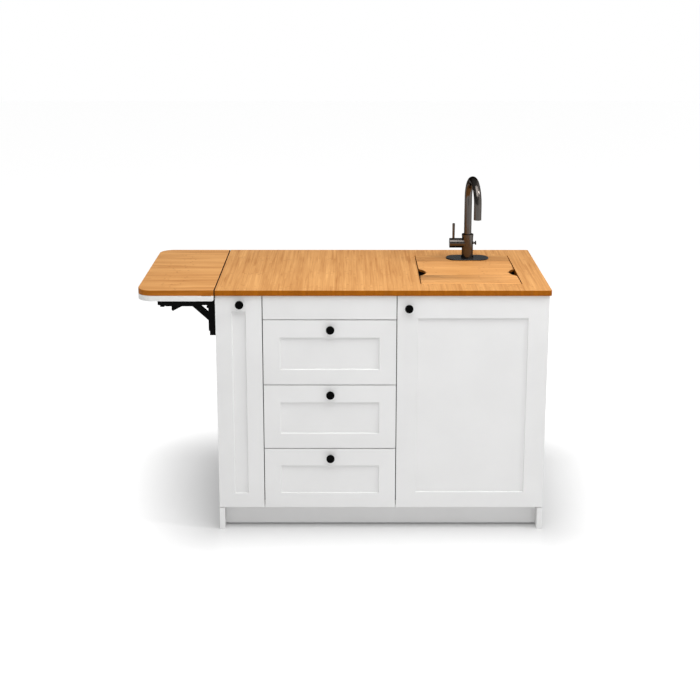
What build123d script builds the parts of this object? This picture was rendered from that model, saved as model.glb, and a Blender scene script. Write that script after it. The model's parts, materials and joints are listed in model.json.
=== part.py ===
from build123d import *
import os
from math import atan2, cos, degrees, hypot, radians, sin

os.makedirs("parts", exist_ok=True)

# A freestanding camper kitchen cabinet, in millimetres. The front faces -Y, +X runs to the right
# and +Z up. The origin lies on the floor, at the centre of the rectangle of the four floor bolts.

# Driving dimensions: worktop
worktop_height = 915.0
worktop_depth = 650.0
worktop_thickness = 20.0
worktop_left_inset = 1.0
overhang_right = 7.0
overhang_front = 8.0
worktop_edge_radius = 1.2
worktop_corner_radius = 8.0

# Driving dimensions: fronts
pullout_front_width = 166.0
drawer_front_width = 478.0
door_width = 541.0
fixed_panel_height = 87.0
top_drawer_extra = 4.5
middle_drawer_extra = 3.5
front_thickness = 18.0
front_gap = 3.0
edge_reveal = 0.5
top_reveal = 2.0
bumper_gap = 2.0
front_edge_radius = 0.8
recess_depth = 6.0
pullout_stile = 58.5
pullout_top_rail = 58.0
pullout_bottom_rail = 56.0
drawer_stile = 61.0
drawer_top_rail = 65.0
drawer_bottom_rail = 57.0
door_stile = 73.0
door_top_rail = 83.0
door_bottom_rail = 60.0

# Driving dimensions: carcass
board = 19.0
back_thickness = 8.0
plinth_height = 86.5
plinth_setback = 40.0
plinth_floor_gap = 7.0
top_rail_height = 80.0
wall_fixing_spacing = 1020.0
wall_fixing_drop = 45.0
wall_fixing_radius = 2.75

# Driving dimensions: knobs
knob_radius = 15.0
knob_length = 23.0
knob_base_radius = 9.0
knob_neck_radius = 6.5
knob_stud_radius = 2.0
knob_stud_length = 14.0
knob_base_height = 1.2
knob_waist_share = 0.15
knob_flare_share = 0.4
knob_head_share = 0.7
knob_lip = 2.5
knob_dish_depth = 0.8
knob_dish_slope = 1.2
knob_hole_clearance = 0.1
pullout_knob_drop = 29.0
pullout_knob_shift = 4.5
drawer_knob_drop = 32.0
drawer_knob_shift = 2.0
door_knob_drop = 43.5
door_knob_inset = 41.0

# Driving dimensions: drawer boxes, pull-out trays and runners
box_board = 12.0
box_height = 150.0
box_depth = 500.0
box_lift = 26.0
bottom_panel_thickness = 6.0
bottom_groove_depth = 6.0
bottom_panel_lift = 12.0
runner_slot = 13.0
runner_depth = 12.0
runner_height = 35.0
runner_length = 450.0
runner_sheet = 1.5
runner_clearance = 0.5
runner_front_setback = 6.0
runner_lift = 42.0
tray_wall = 9.0
tray_height = 60.0
tray_floor = 6.0
tray_count = 3
tray_lift = 20.0
tray_space_above = 140.0
upright_top_gap = 14.0
upright_thickness = 12.0

# Driving dimensions: door hinges
hinge_count = 3
hinge_end_distance = 100.0
cup_radius = 17.5
cup_depth = 11.5
cup_wall = 1.0
cup_centre_from_edge = 22.5
cup_clearance = 0.1
cup_flange_radius = 20.0
cup_flange_thickness = 1.0
hinge_gap = 0.3
hinge_arm_width = 16.0
hinge_arm_thickness = 14.0
hinge_arm_length = 80.0
hinge_plate_length = 50.0
hinge_plate_height = 46.0
hinge_plate_thickness = 6.0
hinge_link_width = 12.0
hinge_link_height = 10.0

# Driving dimensions: floor brackets
floor_bolt_inset = 25.0
floor_bolt_behind_plinth = 42.0
floor_bolt_radius = 3.25
floor_bracket_leg = 40.0
floor_bracket_width = 30.0
floor_bracket_sheet = 3.0
screw_radius = 2.0
screw_head_radius = 4.0
screw_head_height = 2.2
screw_length = 16.0
floor_screw_height = 26.0

# Driving dimensions: lid, tap ledge and sink
cutout_right_margin = 94.0
cutout_front_margin = 96.0
cutout_back_margin = 102.0
cutout_corner_radius = 3.0
lid_width = 362.0
lid_side_gap = 3.0
lid_end_gap = 1.0
notch_depth = 25.0
notch_length = 108.0
notch_forward = 7.0
ledge_depth = 92.0
lid_rest = 28.0
gasket_thickness = 2.0
sink_sheet = 1.5
sink_flange_overlap = 20.0
sink_depth = 160.0
sink_corner_radius = 45.0
sink_floor_radius = 20.0
drain_radius = 30.0
drain_clearance = 0.5
waste_flange_radius = 38.0
waste_flange_thickness = 2.0
waste_cup_depth = 34.0
waste_cup_wall = 2.5
waste_nut_height = 12.0
waste_tail_radius = 20.0
waste_tail_bore = 17.5
waste_tail_length = 60.0
strainer_thickness = 2.0
strainer_hole_radius = 3.0
strainer_ring_radius = 17.0
strainer_hole_count = 10

# Driving dimensions: tap
deck_plate_length = 167.0
deck_plate_width = 82.0
deck_plate_thickness = 5.0
deck_plate_chamfer = 1.5
tap_setback = 45.0
tap_offset = 20.0
tap_hole_radius = 17.5
shank_radius = 16.5
shank_depth = 60.0
nut_radius = 26.0
nut_height = 10.0
nut_clearance = 0.1
tap_body_radius = 22.0
tap_body_height = 97.5
tap_collar_height = 8.0
tap_collar_proud = 0.8
tap_foot_radius = 24.0
tap_foot_height = 4.0
hose_inlet_radius = 5.0
hose_inlet_depth = 15.0
hose_inlet_offset = 8.0
spout_radius = 14.5
spout_wall = 1.5
spout_reach = 166.0
spout_top = 338.0
spout_outlet_height = 186.5
spout_turn = 7.1
spout_socket_depth = 30.0
spout_bottom_gap = 2.0
running_clearance = 0.05
blind_hole_gap = 1.0
aerator_height = 9.0
aerator_bore = 9.0
aerator_spigot = 8.0
aerator_mesh = 1.5
aerator_mesh_hole_radius = 1.0
aerator_inner_ring_radius = 2.5
aerator_inner_ring_count = 4
aerator_outer_ring_radius = 5.5
aerator_outer_ring_count = 9
aerator_fit = 0.1
lever_height = 62.0
lever_housing_radius = 19.0
lever_housing_length = 39.0
lever_cap_length = 31.5
lever_cap_gap = 0.5
lever_cap_chamfer = 1.2
lever_spindle_radius = 6.0
lever_spindle_length = 14.0
lever_rod_position = 55.0
lever_rod_top = 140.0
lever_rod_radius = 5.2
lever_rod_foot_radius = 4.6
lever_spigot_radius = 2.5
lever_spigot_length = 8.0
lever_rod_chamfer = 1.5
diverter_neck_radius = 2.5
diverter_head_radius = 8.5
diverter_head_length = 8.0
diverter_reach = 34.0
diverter_boss_radius = 5.0
diverter_boss_length = 3.0
diverter_stem_length = 16.0
diverter_rim = 2.5
diverter_chamfer = 1.0

# Driving dimensions: folding side flap
flap_width = 274.5
flap_gap = 4.0
flap_corner_radius = 55.0
underboard_thickness = 20.0
underboard_edge_radius = 8.0

# Driving dimensions: folding brackets
bracket_setback = 60.0
hinge_out = 14.0
hinge_below_arm_top = 20.0
bracket_sheet = 2.0
arm_length = 209.0
arm_height = 26.0
arm_outer_width = 32.0
arm_knuckle_radius = 8.0
arm_web_start = 36.0
arm_end_radius = 8.0
arm_foot_centre = 192.0
arm_foot_width = 17.0
arm_foot_height = 6.5
wall_plate_outer_width = 27.0
wall_plate_depth = 28.0
wall_plate_foot_depth = 24.0
wall_plate_rise = 9.0
wall_plate_drop = 119.0
wall_plate_step = 17.0
strut_pivot_drop = 63.0
strut_reach = 68.7
strut_width = 20.0
strut_outer_width = 22.0
strut_bar = 3.0
strut_spacer_radius = 6.0
strut_groove_width = 5.0
strut_groove_depth = 0.8
pivot_radius = 3.0
pivot_head_radius = 5.0
pivot_head_height = 1.6
pivot_head_gap = 0.3
slot_width = 6.6
trigger_pivot_out = 100.0
trigger_pivot_rise = 4.0
trigger_pivot_radius = 2.5
trigger_boss_radius = 5.0
trigger_tip_out = 155.5
trigger_tip_drop = 24.0
trigger_tip_radius = 5.5
trigger_tip_width = 12.0
trigger_corner_out = 161.0
trigger_corner_drop = 5.0
trigger_corner_radius = 1.0
trigger_plate = 6.0
trigger_tab_gap = 0.5
trigger_tab_length = 13.0
arm_screw_outs = (60.0, 179.0)
wall_screw_drops = (30.0, 84.0)

# Derived places
body_width = 2 * edge_reveal + pullout_front_width + drawer_front_width + door_width + 2 * front_gap
carcass_depth = worktop_depth - overhang_front - front_thickness - bumper_gap
left_face = -body_width / 2
right_face = body_width / 2
carcass_front = -carcass_depth / 2
carcass_back = carcass_depth / 2
front_back = carcass_front - bumper_gap
front_face = front_back - front_thickness
worktop_front = front_face - overhang_front
worktop_back = carcass_back
worktop_left = left_face + worktop_left_inset
worktop_right = right_face + overhang_right
under_worktop = worktop_height - worktop_thickness
base_top = plinth_height + board
back_inner = carcass_back - back_thickness
front_top = under_worktop - top_reveal

pullout_x = (left_face + edge_reveal, left_face + edge_reveal + pullout_front_width)
drawer_x = (pullout_x[1] + front_gap, pullout_x[1] + front_gap + drawer_front_width)
door_x = (drawer_x[1] + front_gap, drawer_x[1] + front_gap + door_width)
partition_1 = pullout_x[1] + front_gap / 2
partition_2 = drawer_x[1] + front_gap / 2
pullout_bay = (left_face + board, partition_1 - board / 2)
drawer_bay = (partition_1 + board / 2, partition_2 - board / 2)
sink_bay = (partition_2 + board / 2, right_face - board)

# The fixed panel has its own height, and the three drawers share the rest of the front. The upper
# two are a little taller than the average drawer and the bottom one takes what is left.
fixed_panel_z = (front_top - fixed_panel_height, front_top)
average_drawer_height = (fixed_panel_z[0] - plinth_height - 3 * front_gap) / 3
top_drawer_top = fixed_panel_z[0] - front_gap
top_drawer_z = (top_drawer_top - average_drawer_height - top_drawer_extra, top_drawer_top)
middle_drawer_top = top_drawer_z[0] - front_gap
middle_drawer_z = (middle_drawer_top - average_drawer_height - middle_drawer_extra, middle_drawer_top)
bottom_drawer_z = (plinth_height, middle_drawer_z[0] - front_gap)
tall_front_z = (plinth_height, front_top)
drawer_zs = {"drawer_1": top_drawer_z, "drawer_2": middle_drawer_z, "drawer_3": bottom_drawer_z}

wall_fixing_z = under_worktop - wall_fixing_drop
wall_fixing_xs = (-wall_fixing_spacing / 2, wall_fixing_spacing / 2)


# Helpers


def slab(x, y, z, mode=Mode.ADD):
    """A block between the low and high values of each axis."""
    centre = ((x[0] + x[1]) / 2, (y[0] + y[1]) / 2, (z[0] + z[1]) / 2)
    with Locations(centre):
        Box(x[1] - x[0], y[1] - y[0], z[1] - z[0], mode=mode)


def bar(start, direction, radius, length, mode=Mode.ADD):
    """A round bar, or a hole, that starts at a point and runs along a direction."""
    with BuildSketch(Plane(origin=start, z_dir=direction)) as section:
        Circle(radius)
    extrude(section.sketch, amount=length, mode=mode)


def write_piece(builder, name):
    """Label a finished piece and write its STEP file."""
    builder.part.label = name
    export_step(builder.part, f"parts/{name}.step")


# Carcass



def write_side_panel(name, x):
    """A side panel whose foot reaches forward under the fronts, flush with their faces."""
    with BuildPart() as panel:
        slab(x, (carcass_front, carcass_back), (0, under_worktop))
        slab(x, (front_face, carcass_front), (0, plinth_height - front_gap))
    write_piece(panel, name)


write_side_panel("left_side_panel", (left_face, left_face + board))
write_side_panel("right_side_panel", (right_face - board, right_face))

for partition_name, partition_x in (("pullout_partition", partition_1), ("sink_partition", partition_2)):
    with BuildPart() as partition:
        slab(
            (partition_x - board / 2, partition_x + board / 2),
            (carcass_front, back_inner),
            (base_top, under_worktop),
        )
    write_piece(partition, partition_name)

with BuildPart() as base_panel:
    slab((left_face + board, right_face - board), (carcass_front, back_inner), (plinth_height, base_top))
write_piece(base_panel, "base_panel")

with BuildPart() as back_panel:
    slab(
        (left_face + board, right_face - board),
        (back_inner, carcass_back),
        (plinth_height, under_worktop),
    )
    for x in wall_fixing_xs:
        bar((x, back_inner, wall_fixing_z), (0, 1, 0), wall_fixing_radius, back_thickness, Mode.SUBTRACT)
write_piece(back_panel, "back_panel")

plinth_y = (front_face + plinth_setback, front_face + plinth_setback + board)
with BuildPart() as plinth:
    slab((left_face + board, right_face - board), plinth_y, (plinth_floor_gap, plinth_height))
write_piece(plinth, "plinth")

# The rail over the drawers stands forward by the bumper gap, so that the fixed panel lies on it.
with BuildPart() as front_rails:
    front_rail_faces = ((pullout_bay, carcass_front), (drawer_bay, front_back), (sink_bay, carcass_front))
    for bay, rail_face in front_rail_faces:
        slab(bay, (rail_face, rail_face + board), (under_worktop - top_rail_height, under_worktop))
write_piece(front_rails, "front_rails")

with BuildPart() as rear_rails:
    for bay in (pullout_bay, drawer_bay, sink_bay):
        slab(bay, (back_inner - board, back_inner), (under_worktop - top_rail_height, under_worktop))
    for x in wall_fixing_xs:
        bar((x, back_inner - board, wall_fixing_z), (0, 1, 0), wall_fixing_radius, board, Mode.SUBTRACT)
write_piece(rear_rails, "rear_rails")


# Fronts and knobs


def front_board(x, z):
    """A flat front with its outer edges eased, added to the open part."""
    slab(x, (front_face, front_back), z)
    fillet(faces().sort_by(Axis.Y)[0].edges(), radius=front_edge_radius)


def knob_hole(knob_x, knob_z):
    """The hole for a knob's stud, cut through a front."""
    radius = knob_stud_radius + knob_hole_clearance
    bar((knob_x, front_face, knob_z), (0, 1, 0), radius, front_thickness, Mode.SUBTRACT)


def write_shaker_front(name, x, z, stile, top_rail, bottom_rail, knob_x, knob_z):
    """A front board with one recessed panel and a knob hole."""
    with BuildPart() as front:
        front_board(x, z)
        slab(
            (x[0] + stile, x[1] - stile),
            (front_face, front_face + recess_depth),
            (z[0] + bottom_rail, z[1] - top_rail),
            mode=Mode.SUBTRACT,
        )
        knob_hole(knob_x, knob_z)
    write_piece(front, name)


def write_knob(name, knob_x, knob_z):
    """A round knob: stud, base, neck and a wide head with a shallow dished face."""
    lip_radius = knob_radius - knob_lip
    neck_start = knob_length * knob_waist_share
    neck_end = knob_length * knob_flare_share
    head_back = knob_length * knob_head_share
    with BuildPart() as knob:
        with BuildSketch(Plane((knob_x, front_face, knob_z), x_dir=(1, 0, 0), z_dir=(0, 0, 1))):
            with BuildLine():
                Polyline(
                    (0, -knob_length + knob_dish_depth),
                    (0, knob_stud_length),
                    (knob_stud_radius, knob_stud_length),
                    (knob_stud_radius, 0),
                    (knob_base_radius, 0),
                    (knob_base_radius, -knob_base_height),
                    (knob_neck_radius, -neck_start),
                    (knob_neck_radius, -neck_end),
                )
                flare = TangentArc(
                    (knob_neck_radius, -neck_end), (knob_radius, -head_back), tangent=(0, -1)
                )
                Line(flare @ 1, (knob_radius, -knob_length + knob_lip))
                TangentArc(
                    (knob_radius, -knob_length + knob_lip), (lip_radius, -knob_length), tangent=(0, -1)
                )
                Polyline(
                    (lip_radius, -knob_length),
                    (lip_radius - knob_dish_slope, -knob_length + knob_dish_depth),
                    (0, -knob_length + knob_dish_depth),
                )
            make_face()
        revolve(axis=Axis((knob_x, front_face, knob_z), (0, 1, 0)))
    write_piece(knob, name)


pullout_knob_x = (pullout_x[0] + pullout_x[1]) / 2 + pullout_knob_shift
pullout_knob_z = front_top - pullout_knob_drop
write_shaker_front(
    "pullout_front",
    pullout_x,
    tall_front_z,
    pullout_stile,
    pullout_top_rail,
    pullout_bottom_rail,
    pullout_knob_x,
    pullout_knob_z,
)
write_knob("pullout_knob", pullout_knob_x, pullout_knob_z)

with BuildPart() as fixed_front_panel:
    front_board(drawer_x, fixed_panel_z)
write_piece(fixed_front_panel, "fixed_front_panel")


# Drawers and their runners


def runner_channel(wall_x, towards, z):
    """A cabinet runner: a channel on a wall at wall_x that opens towards +X or -X."""
    y = (carcass_front + runner_front_setback, carcass_front + runner_front_setback + runner_length)
    far_x = wall_x + towards * runner_depth
    slab(sorted((wall_x, far_x)), y, (z - runner_height / 2, z + runner_height / 2))
    slab(
        sorted((wall_x + towards * runner_sheet, far_x)),
        y,
        (z - runner_height / 2 + runner_sheet, z + runner_height / 2 - runner_sheet),
        mode=Mode.SUBTRACT,
    )


def runner_slide(side_x, towards, z):
    """A moving runner: a bar on a box side at side_x that fills the cabinet runner's channel."""
    y = (carcass_front + runner_front_setback, carcass_front + runner_front_setback + runner_length)
    reach = runner_slot - runner_sheet - runner_clearance
    half = runner_height / 2 - runner_sheet - runner_clearance
    slab(sorted((side_x, side_x + towards * reach)), y, (z - half, z + half))


def write_drawer(name, z):
    """One drawer: shaker front, knob, box of four boards, bottom panel and two runners."""
    knob_x = (drawer_x[0] + drawer_x[1]) / 2 + drawer_knob_shift
    knob_z = z[1] - drawer_knob_drop
    write_shaker_front(
        f"{name}_front", drawer_x, z, drawer_stile, drawer_top_rail, drawer_bottom_rail, knob_x, knob_z
    )
    write_knob(f"{name}_knob", knob_x, knob_z)

    box_x = (drawer_bay[0] + runner_slot, drawer_bay[1] - runner_slot)
    box_y = (front_back, front_back + box_depth)
    box_z = (z[0] + box_lift, z[0] + box_lift + box_height)
    inner_x = (box_x[0] + box_board, box_x[1] - box_board)
    panel_x = (inner_x[0] - bottom_groove_depth, inner_x[1] + bottom_groove_depth)
    panel_y = (box_y[0] + box_board - bottom_groove_depth, box_y[1] - box_board + bottom_groove_depth)
    panel_z = (box_z[0] + bottom_panel_lift, box_z[0] + bottom_panel_lift + bottom_panel_thickness)
    with BuildPart() as bottom:
        slab(panel_x, panel_y, panel_z)
    write_piece(bottom, f"{name}_bottom")

    with BuildPart() as left_board:
        slab((box_x[0], inner_x[0]), box_y, box_z)
        slab(panel_x, panel_y, panel_z, mode=Mode.SUBTRACT)
    with BuildPart() as right_board:
        slab((inner_x[1], box_x[1]), box_y, box_z)
        slab(panel_x, panel_y, panel_z, mode=Mode.SUBTRACT)
    with BuildPart() as end_boards:
        slab(inner_x, (box_y[0], box_y[0] + box_board), box_z)
        slab(inner_x, (box_y[1] - box_board, box_y[1]), box_z)
        slab(panel_x, panel_y, panel_z, mode=Mode.SUBTRACT)
        stud_radius = knob_stud_radius + knob_hole_clearance
        bar((knob_x, box_y[0], knob_z), (0, 1, 0), stud_radius, box_board, Mode.SUBTRACT)
    boards = [left_board.part.solid(), right_board.part.solid(), *end_boards.part.solids()]
    box = Compound(children=boards)
    box.label = f"{name}_box"
    export_step(box, f"parts/{name}_box.step")

    with BuildPart() as runners:
        runner_slide(box_x[0], -1, box_z[0] + runner_lift)
        runner_slide(box_x[1], 1, box_z[0] + runner_lift)
    write_piece(runners, f"{name}_runners")


for drawer_name, drawer_z in drawer_zs.items():
    write_drawer(drawer_name, drawer_z)

upright_z = (base_top + tray_lift, under_worktop - top_rail_height - upright_top_gap)
top_tray_bottom = upright_z[1] - tray_space_above - tray_height
tray_pitch = (top_tray_bottom - upright_z[0]) / (tray_count - 1)
tray_bottoms = [upright_z[0] + i * tray_pitch for i in range(tray_count)]
pullout_runner_zs = [tray_bottoms[0] + tray_height / 2, tray_bottoms[-1] + tray_height / 2]
drawer_runner_zs = [z[0] + box_lift + runner_lift for z in drawer_zs.values()]
with BuildPart() as cabinet_runners:
    for bay, runner_zs in ((pullout_bay, pullout_runner_zs), (drawer_bay, drawer_runner_zs)):
        for runner_z in runner_zs:
            runner_channel(bay[0], 1, runner_z)
            runner_channel(bay[1], -1, runner_z)
write_piece(cabinet_runners, "cabinet_runners")

# Pull-out larder unit

tray_x = (pullout_bay[0] + runner_slot, pullout_bay[1] - runner_slot)
tray_y = (front_back + upright_thickness, front_back + box_depth - upright_thickness)

with BuildPart() as pullout_uprights:
    slab(tray_x, (front_back, tray_y[0]), upright_z)
    slab(tray_x, (tray_y[1], tray_y[1] + upright_thickness), upright_z)
write_piece(pullout_uprights, "pullout_uprights")

with BuildPart() as pullout_trays:
    for tray_bottom in tray_bottoms:
        slab(tray_x, tray_y, (tray_bottom, tray_bottom + tray_height))
        slab(
            (tray_x[0] + tray_wall, tray_x[1] - tray_wall),
            tray_y,
            (tray_bottom + tray_floor, tray_bottom + tray_height),
            mode=Mode.SUBTRACT,
        )
write_piece(pullout_trays, "pullout_trays")

with BuildPart() as pullout_runners:
    for runner_z in pullout_runner_zs:
        runner_slide(tray_x[0], -1, runner_z)
        runner_slide(tray_x[1], 1, runner_z)
write_piece(pullout_runners, "pullout_runners")

# Door with concealed cup hinges on its right edge

door_knob_x = door_x[0] + door_knob_inset
door_knob_z = front_top - door_knob_drop
cup_x = door_x[1] - cup_centre_from_edge
hinge_pitch = (front_top - plinth_height - 2 * hinge_end_distance) / (hinge_count - 1)
hinge_zs = [plinth_height + hinge_end_distance + i * hinge_pitch for i in range(hinge_count)]

with BuildPart() as door:
    front_board(door_x, tall_front_z)
    slab(
        (door_x[0] + door_stile, door_x[1] - door_stile),
        (front_face, front_face + recess_depth),
        (tall_front_z[0] + door_bottom_rail, tall_front_z[1] - door_top_rail),
        mode=Mode.SUBTRACT,
    )
    knob_hole(door_knob_x, door_knob_z)
    for hinge_z in hinge_zs:
        bar(
            (cup_x, front_back, hinge_z),
            (0, -1, 0),
            cup_radius + cup_clearance,
            cup_depth + cup_clearance,
            Mode.SUBTRACT,
        )
write_piece(door, "door")
write_knob("door_knob", door_knob_x, door_knob_z)

# Each cup holds the folded links of its hinge as one block. Its arm stops a hinge gap behind that.
hinge_arm_front = front_back + cup_flange_thickness + hinge_gap
hinge_arm_right = sink_bay[1] - hinge_gap
hinge_arm_x = (hinge_arm_right - hinge_arm_width, hinge_arm_right)
link_middle = hinge_arm_right - hinge_arm_width / 2

with BuildPart() as hinge_cups:
    for hinge_z in hinge_zs:
        bar((cup_x, front_back, hinge_z), (0, -1, 0), cup_radius, cup_depth)
        bar((cup_x, front_back, hinge_z), (0, 1, 0), cup_flange_radius, cup_flange_thickness)
        bar(
            (cup_x, front_back + cup_flange_thickness, hinge_z),
            (0, -1, 0),
            cup_radius - cup_wall,
            cup_depth + cup_flange_thickness - cup_wall,
            Mode.SUBTRACT,
        )
        slab(
            (link_middle - hinge_link_width / 2, link_middle + hinge_link_width / 2),
            (front_back - cup_depth + cup_wall, front_back + cup_flange_thickness),
            (hinge_z - hinge_link_height / 2, hinge_z + hinge_link_height / 2),
        )
write_piece(hinge_cups, "hinge_cups")

with BuildPart() as hinge_arms:
    for hinge_z in hinge_zs:
        slab(
            hinge_arm_x,
            (hinge_arm_front, hinge_arm_front + hinge_arm_length),
            (hinge_z - hinge_arm_thickness / 2, hinge_z + hinge_arm_thickness / 2),
        )
        slab(
            (sink_bay[1] - hinge_plate_thickness, sink_bay[1]),
            (hinge_arm_front + hinge_arm_length - hinge_plate_length, hinge_arm_front + hinge_arm_length),
            (hinge_z - hinge_plate_height / 2, hinge_z + hinge_plate_height / 2),
        )
write_piece(hinge_arms, "hinge_arms")

# Floor brackets: angles on the inner faces of the side panels, bolted down behind the plinth

front_bolt_y = plinth_y[1] + floor_bolt_behind_plinth
floor_bolt_ys = (front_bolt_y, -front_bolt_y)
bracket_walls = ((left_face + board, 1), (right_face - board, -1))

with BuildPart() as floor_brackets:
    for wall_x, inward in bracket_walls:
        for bolt_y in floor_bolt_ys:
            leg_y = (bolt_y - floor_bracket_width / 2, bolt_y + floor_bracket_width / 2)
            upright_x = sorted((wall_x, wall_x + inward * floor_bracket_sheet))
            foot_x = sorted((wall_x, wall_x + inward * floor_bracket_leg))
            slab(upright_x, leg_y, (0, floor_bracket_leg))
            slab(foot_x, leg_y, (0, floor_bracket_sheet))
            bolt_x = wall_x + inward * floor_bolt_inset
            bar((bolt_x, bolt_y, 0), (0, 0, 1), floor_bolt_radius, floor_bracket_sheet, Mode.SUBTRACT)
            bar(
                (wall_x, bolt_y, floor_screw_height),
                (inward, 0, 0),
                screw_radius + running_clearance,
                floor_bracket_sheet,
                Mode.SUBTRACT,
            )
write_piece(floor_brackets, "floor_brackets")

# Cut-out, lid, tap ledge and sink

cutout_x = (
    worktop_right - cutout_right_margin - lid_width - 2 * lid_side_gap,
    worktop_right - cutout_right_margin,
)
lid_x = (cutout_x[0] + lid_side_gap, cutout_x[1] - lid_side_gap)
cutout_y = (worktop_front + cutout_front_margin, worktop_back - cutout_back_margin)
ledge_y = (cutout_y[1] - ledge_depth, cutout_y[1])
lid_y = (cutout_y[0] + lid_end_gap, ledge_y[0] - lid_end_gap)
tap_x = (lid_x[0] + lid_x[1]) / 2 + tap_offset
tap_y = ledge_y[0] + tap_setback
bowl_x = (lid_x[0] + lid_rest, lid_x[1] - lid_rest)
bowl_y = (lid_y[0] + lid_rest, lid_y[1] - lid_rest)
flange_x = (cutout_x[0] - sink_flange_overlap, cutout_x[1] + sink_flange_overlap)
flange_y = (cutout_y[0] - sink_flange_overlap, cutout_y[1] + sink_flange_overlap)
flange_top = under_worktop - gasket_thickness
notch_radius = (notch_length**2 / 4 + notch_depth**2) / (2 * notch_depth)
notch_xs = (lid_x[0] + notch_depth - notch_radius, lid_x[1] - notch_depth + notch_radius)
notch_y = (lid_y[0] + lid_y[1]) / 2 - notch_forward
bowl_floor = flange_top - sink_depth
drain_centre = ((bowl_x[0] + bowl_x[1]) / 2, (bowl_y[0] + bowl_y[1]) / 2)


def rounded_block(x, y, z, radius, mode=Mode.ADD):
    """A block whose upright edges are rounded."""
    with BuildSketch(Plane.XY.offset(z[0])) as outline:
        with Locations(((x[0] + x[1]) / 2, (y[0] + y[1]) / 2)):
            RectangleRounded(x[1] - x[0], y[1] - y[0], radius)
    extrude(outline.sketch, amount=z[1] - z[0], mode=mode)


with BuildPart() as worktop:
    with BuildSketch(Plane.XY.offset(under_worktop)) as outline:
        with Locations(((worktop_left + worktop_right) / 2, (worktop_front + worktop_back) / 2)):
            Rectangle(worktop_right - worktop_left, worktop_depth)
        fillet(outline.vertices().group_by(Axis.X)[-1], radius=worktop_corner_radius)
    extrude(outline.sketch, amount=worktop_thickness)
    fillet(faces().sort_by(Axis.Z)[-1].edges(), radius=worktop_edge_radius)
    fillet(faces().sort_by(Axis.Z)[0].edges(), radius=worktop_edge_radius)
    rounded_block(
        cutout_x, cutout_y, (under_worktop, worktop_height), cutout_corner_radius, mode=Mode.SUBTRACT
    )
write_piece(worktop, "worktop")

with BuildPart() as tap_ledge:
    slab(lid_x, ledge_y, (under_worktop, worktop_height))
    bar((tap_x, tap_y, under_worktop), (0, 0, 1), tap_hole_radius, worktop_thickness, Mode.SUBTRACT)
write_piece(tap_ledge, "tap_ledge")

with BuildPart() as sink_lid:
    rounded_block(lid_x, lid_y, (under_worktop, worktop_height), cutout_corner_radius)
    with BuildSketch(Plane.XY.offset(under_worktop)) as notches:
        with Locations(*[(notch_x, notch_y) for notch_x in notch_xs]):
            Circle(notch_radius)
    extrude(notches.sketch, amount=worktop_thickness, mode=Mode.SUBTRACT)
    fillet(faces().sort_by(Axis.Z)[-1].edges(), radius=front_edge_radius)
write_piece(sink_lid, "sink_lid")

with BuildPart() as sink_gasket:
    slab(flange_x, flange_y, (flange_top, under_worktop))
    rounded_block(bowl_x, bowl_y, (flange_top, under_worktop), sink_corner_radius, mode=Mode.SUBTRACT)
    bar((tap_x, tap_y, flange_top), (0, 0, 1), tap_hole_radius, gasket_thickness, Mode.SUBTRACT)
write_piece(sink_gasket, "sink_gasket")

with BuildPart() as bowl_void:
    rounded_block(bowl_x, bowl_y, (bowl_floor, flange_top), sink_corner_radius)
    fillet(faces().sort_by(Axis.Z)[0].edges(), radius=sink_floor_radius)

with BuildPart() as sink_bowl:
    rounded_block(
        (bowl_x[0] - sink_sheet, bowl_x[1] + sink_sheet),
        (bowl_y[0] - sink_sheet, bowl_y[1] + sink_sheet),
        (bowl_floor - sink_sheet, flange_top),
        sink_corner_radius + sink_sheet,
    )
    fillet(faces().sort_by(Axis.Z)[0].edges(), radius=sink_floor_radius + sink_sheet)
    slab(flange_x, flange_y, (flange_top - sink_sheet, flange_top))
    add(bowl_void.part, mode=Mode.SUBTRACT)
    bar((*drain_centre, bowl_floor - sink_sheet), (0, 0, 1), drain_radius, sink_sheet, Mode.SUBTRACT)
    bar((tap_x, tap_y, flange_top - sink_sheet), (0, 0, 1), tap_hole_radius, sink_sheet, Mode.SUBTRACT)
write_piece(sink_bowl, "sink_bowl")

# The waste is a cup with a strainer in its mouth, a nut under the bowl and a tail pipe.
waste_top = bowl_floor + waste_flange_thickness
cup_radius_outer = drain_radius - drain_clearance
cup_bottom = bowl_floor - waste_cup_depth
nut_top = bowl_floor - sink_sheet
with BuildPart() as sink_waste:
    bar((*drain_centre, bowl_floor), (0, 0, 1), waste_flange_radius, waste_flange_thickness)
    bar((*drain_centre, cup_bottom), (0, 0, 1), cup_radius_outer, waste_cup_depth)
    bar((*drain_centre, nut_top - waste_nut_height), (0, 0, 1), waste_flange_radius, waste_nut_height)
    bar(
        (*drain_centre, cup_bottom + waste_cup_wall),
        (0, 0, 1),
        cup_radius_outer - waste_cup_wall,
        waste_top - cup_bottom - waste_cup_wall,
        Mode.SUBTRACT,
    )
    bar((*drain_centre, cup_bottom - waste_tail_length), (0, 0, 1), waste_tail_radius, waste_tail_length)
    bar(
        (*drain_centre, cup_bottom - waste_tail_length),
        (0, 0, 1),
        waste_tail_bore,
        waste_tail_length + waste_cup_wall,
        Mode.SUBTRACT,
    )
    bar(
        (*drain_centre, bowl_floor - strainer_thickness),
        (0, 0, 1),
        cup_radius_outer,
        strainer_thickness,
    )
    with BuildSketch(Plane.XY.offset(bowl_floor - strainer_thickness)):
        with Locations(drain_centre):
            with PolarLocations(strainer_ring_radius, strainer_hole_count):
                Circle(strainer_hole_radius)
            Circle(strainer_hole_radius)
    extrude(amount=strainer_thickness, mode=Mode.SUBTRACT)
write_piece(sink_waste, "sink_waste")

# Tap

deck_plate_top = worktop_height + deck_plate_thickness
tap_body_top = worktop_height + tap_body_height
shank_bottom = flange_top - sink_sheet - (shank_depth - worktop_thickness)
lever_z = worktop_height + lever_height

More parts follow.
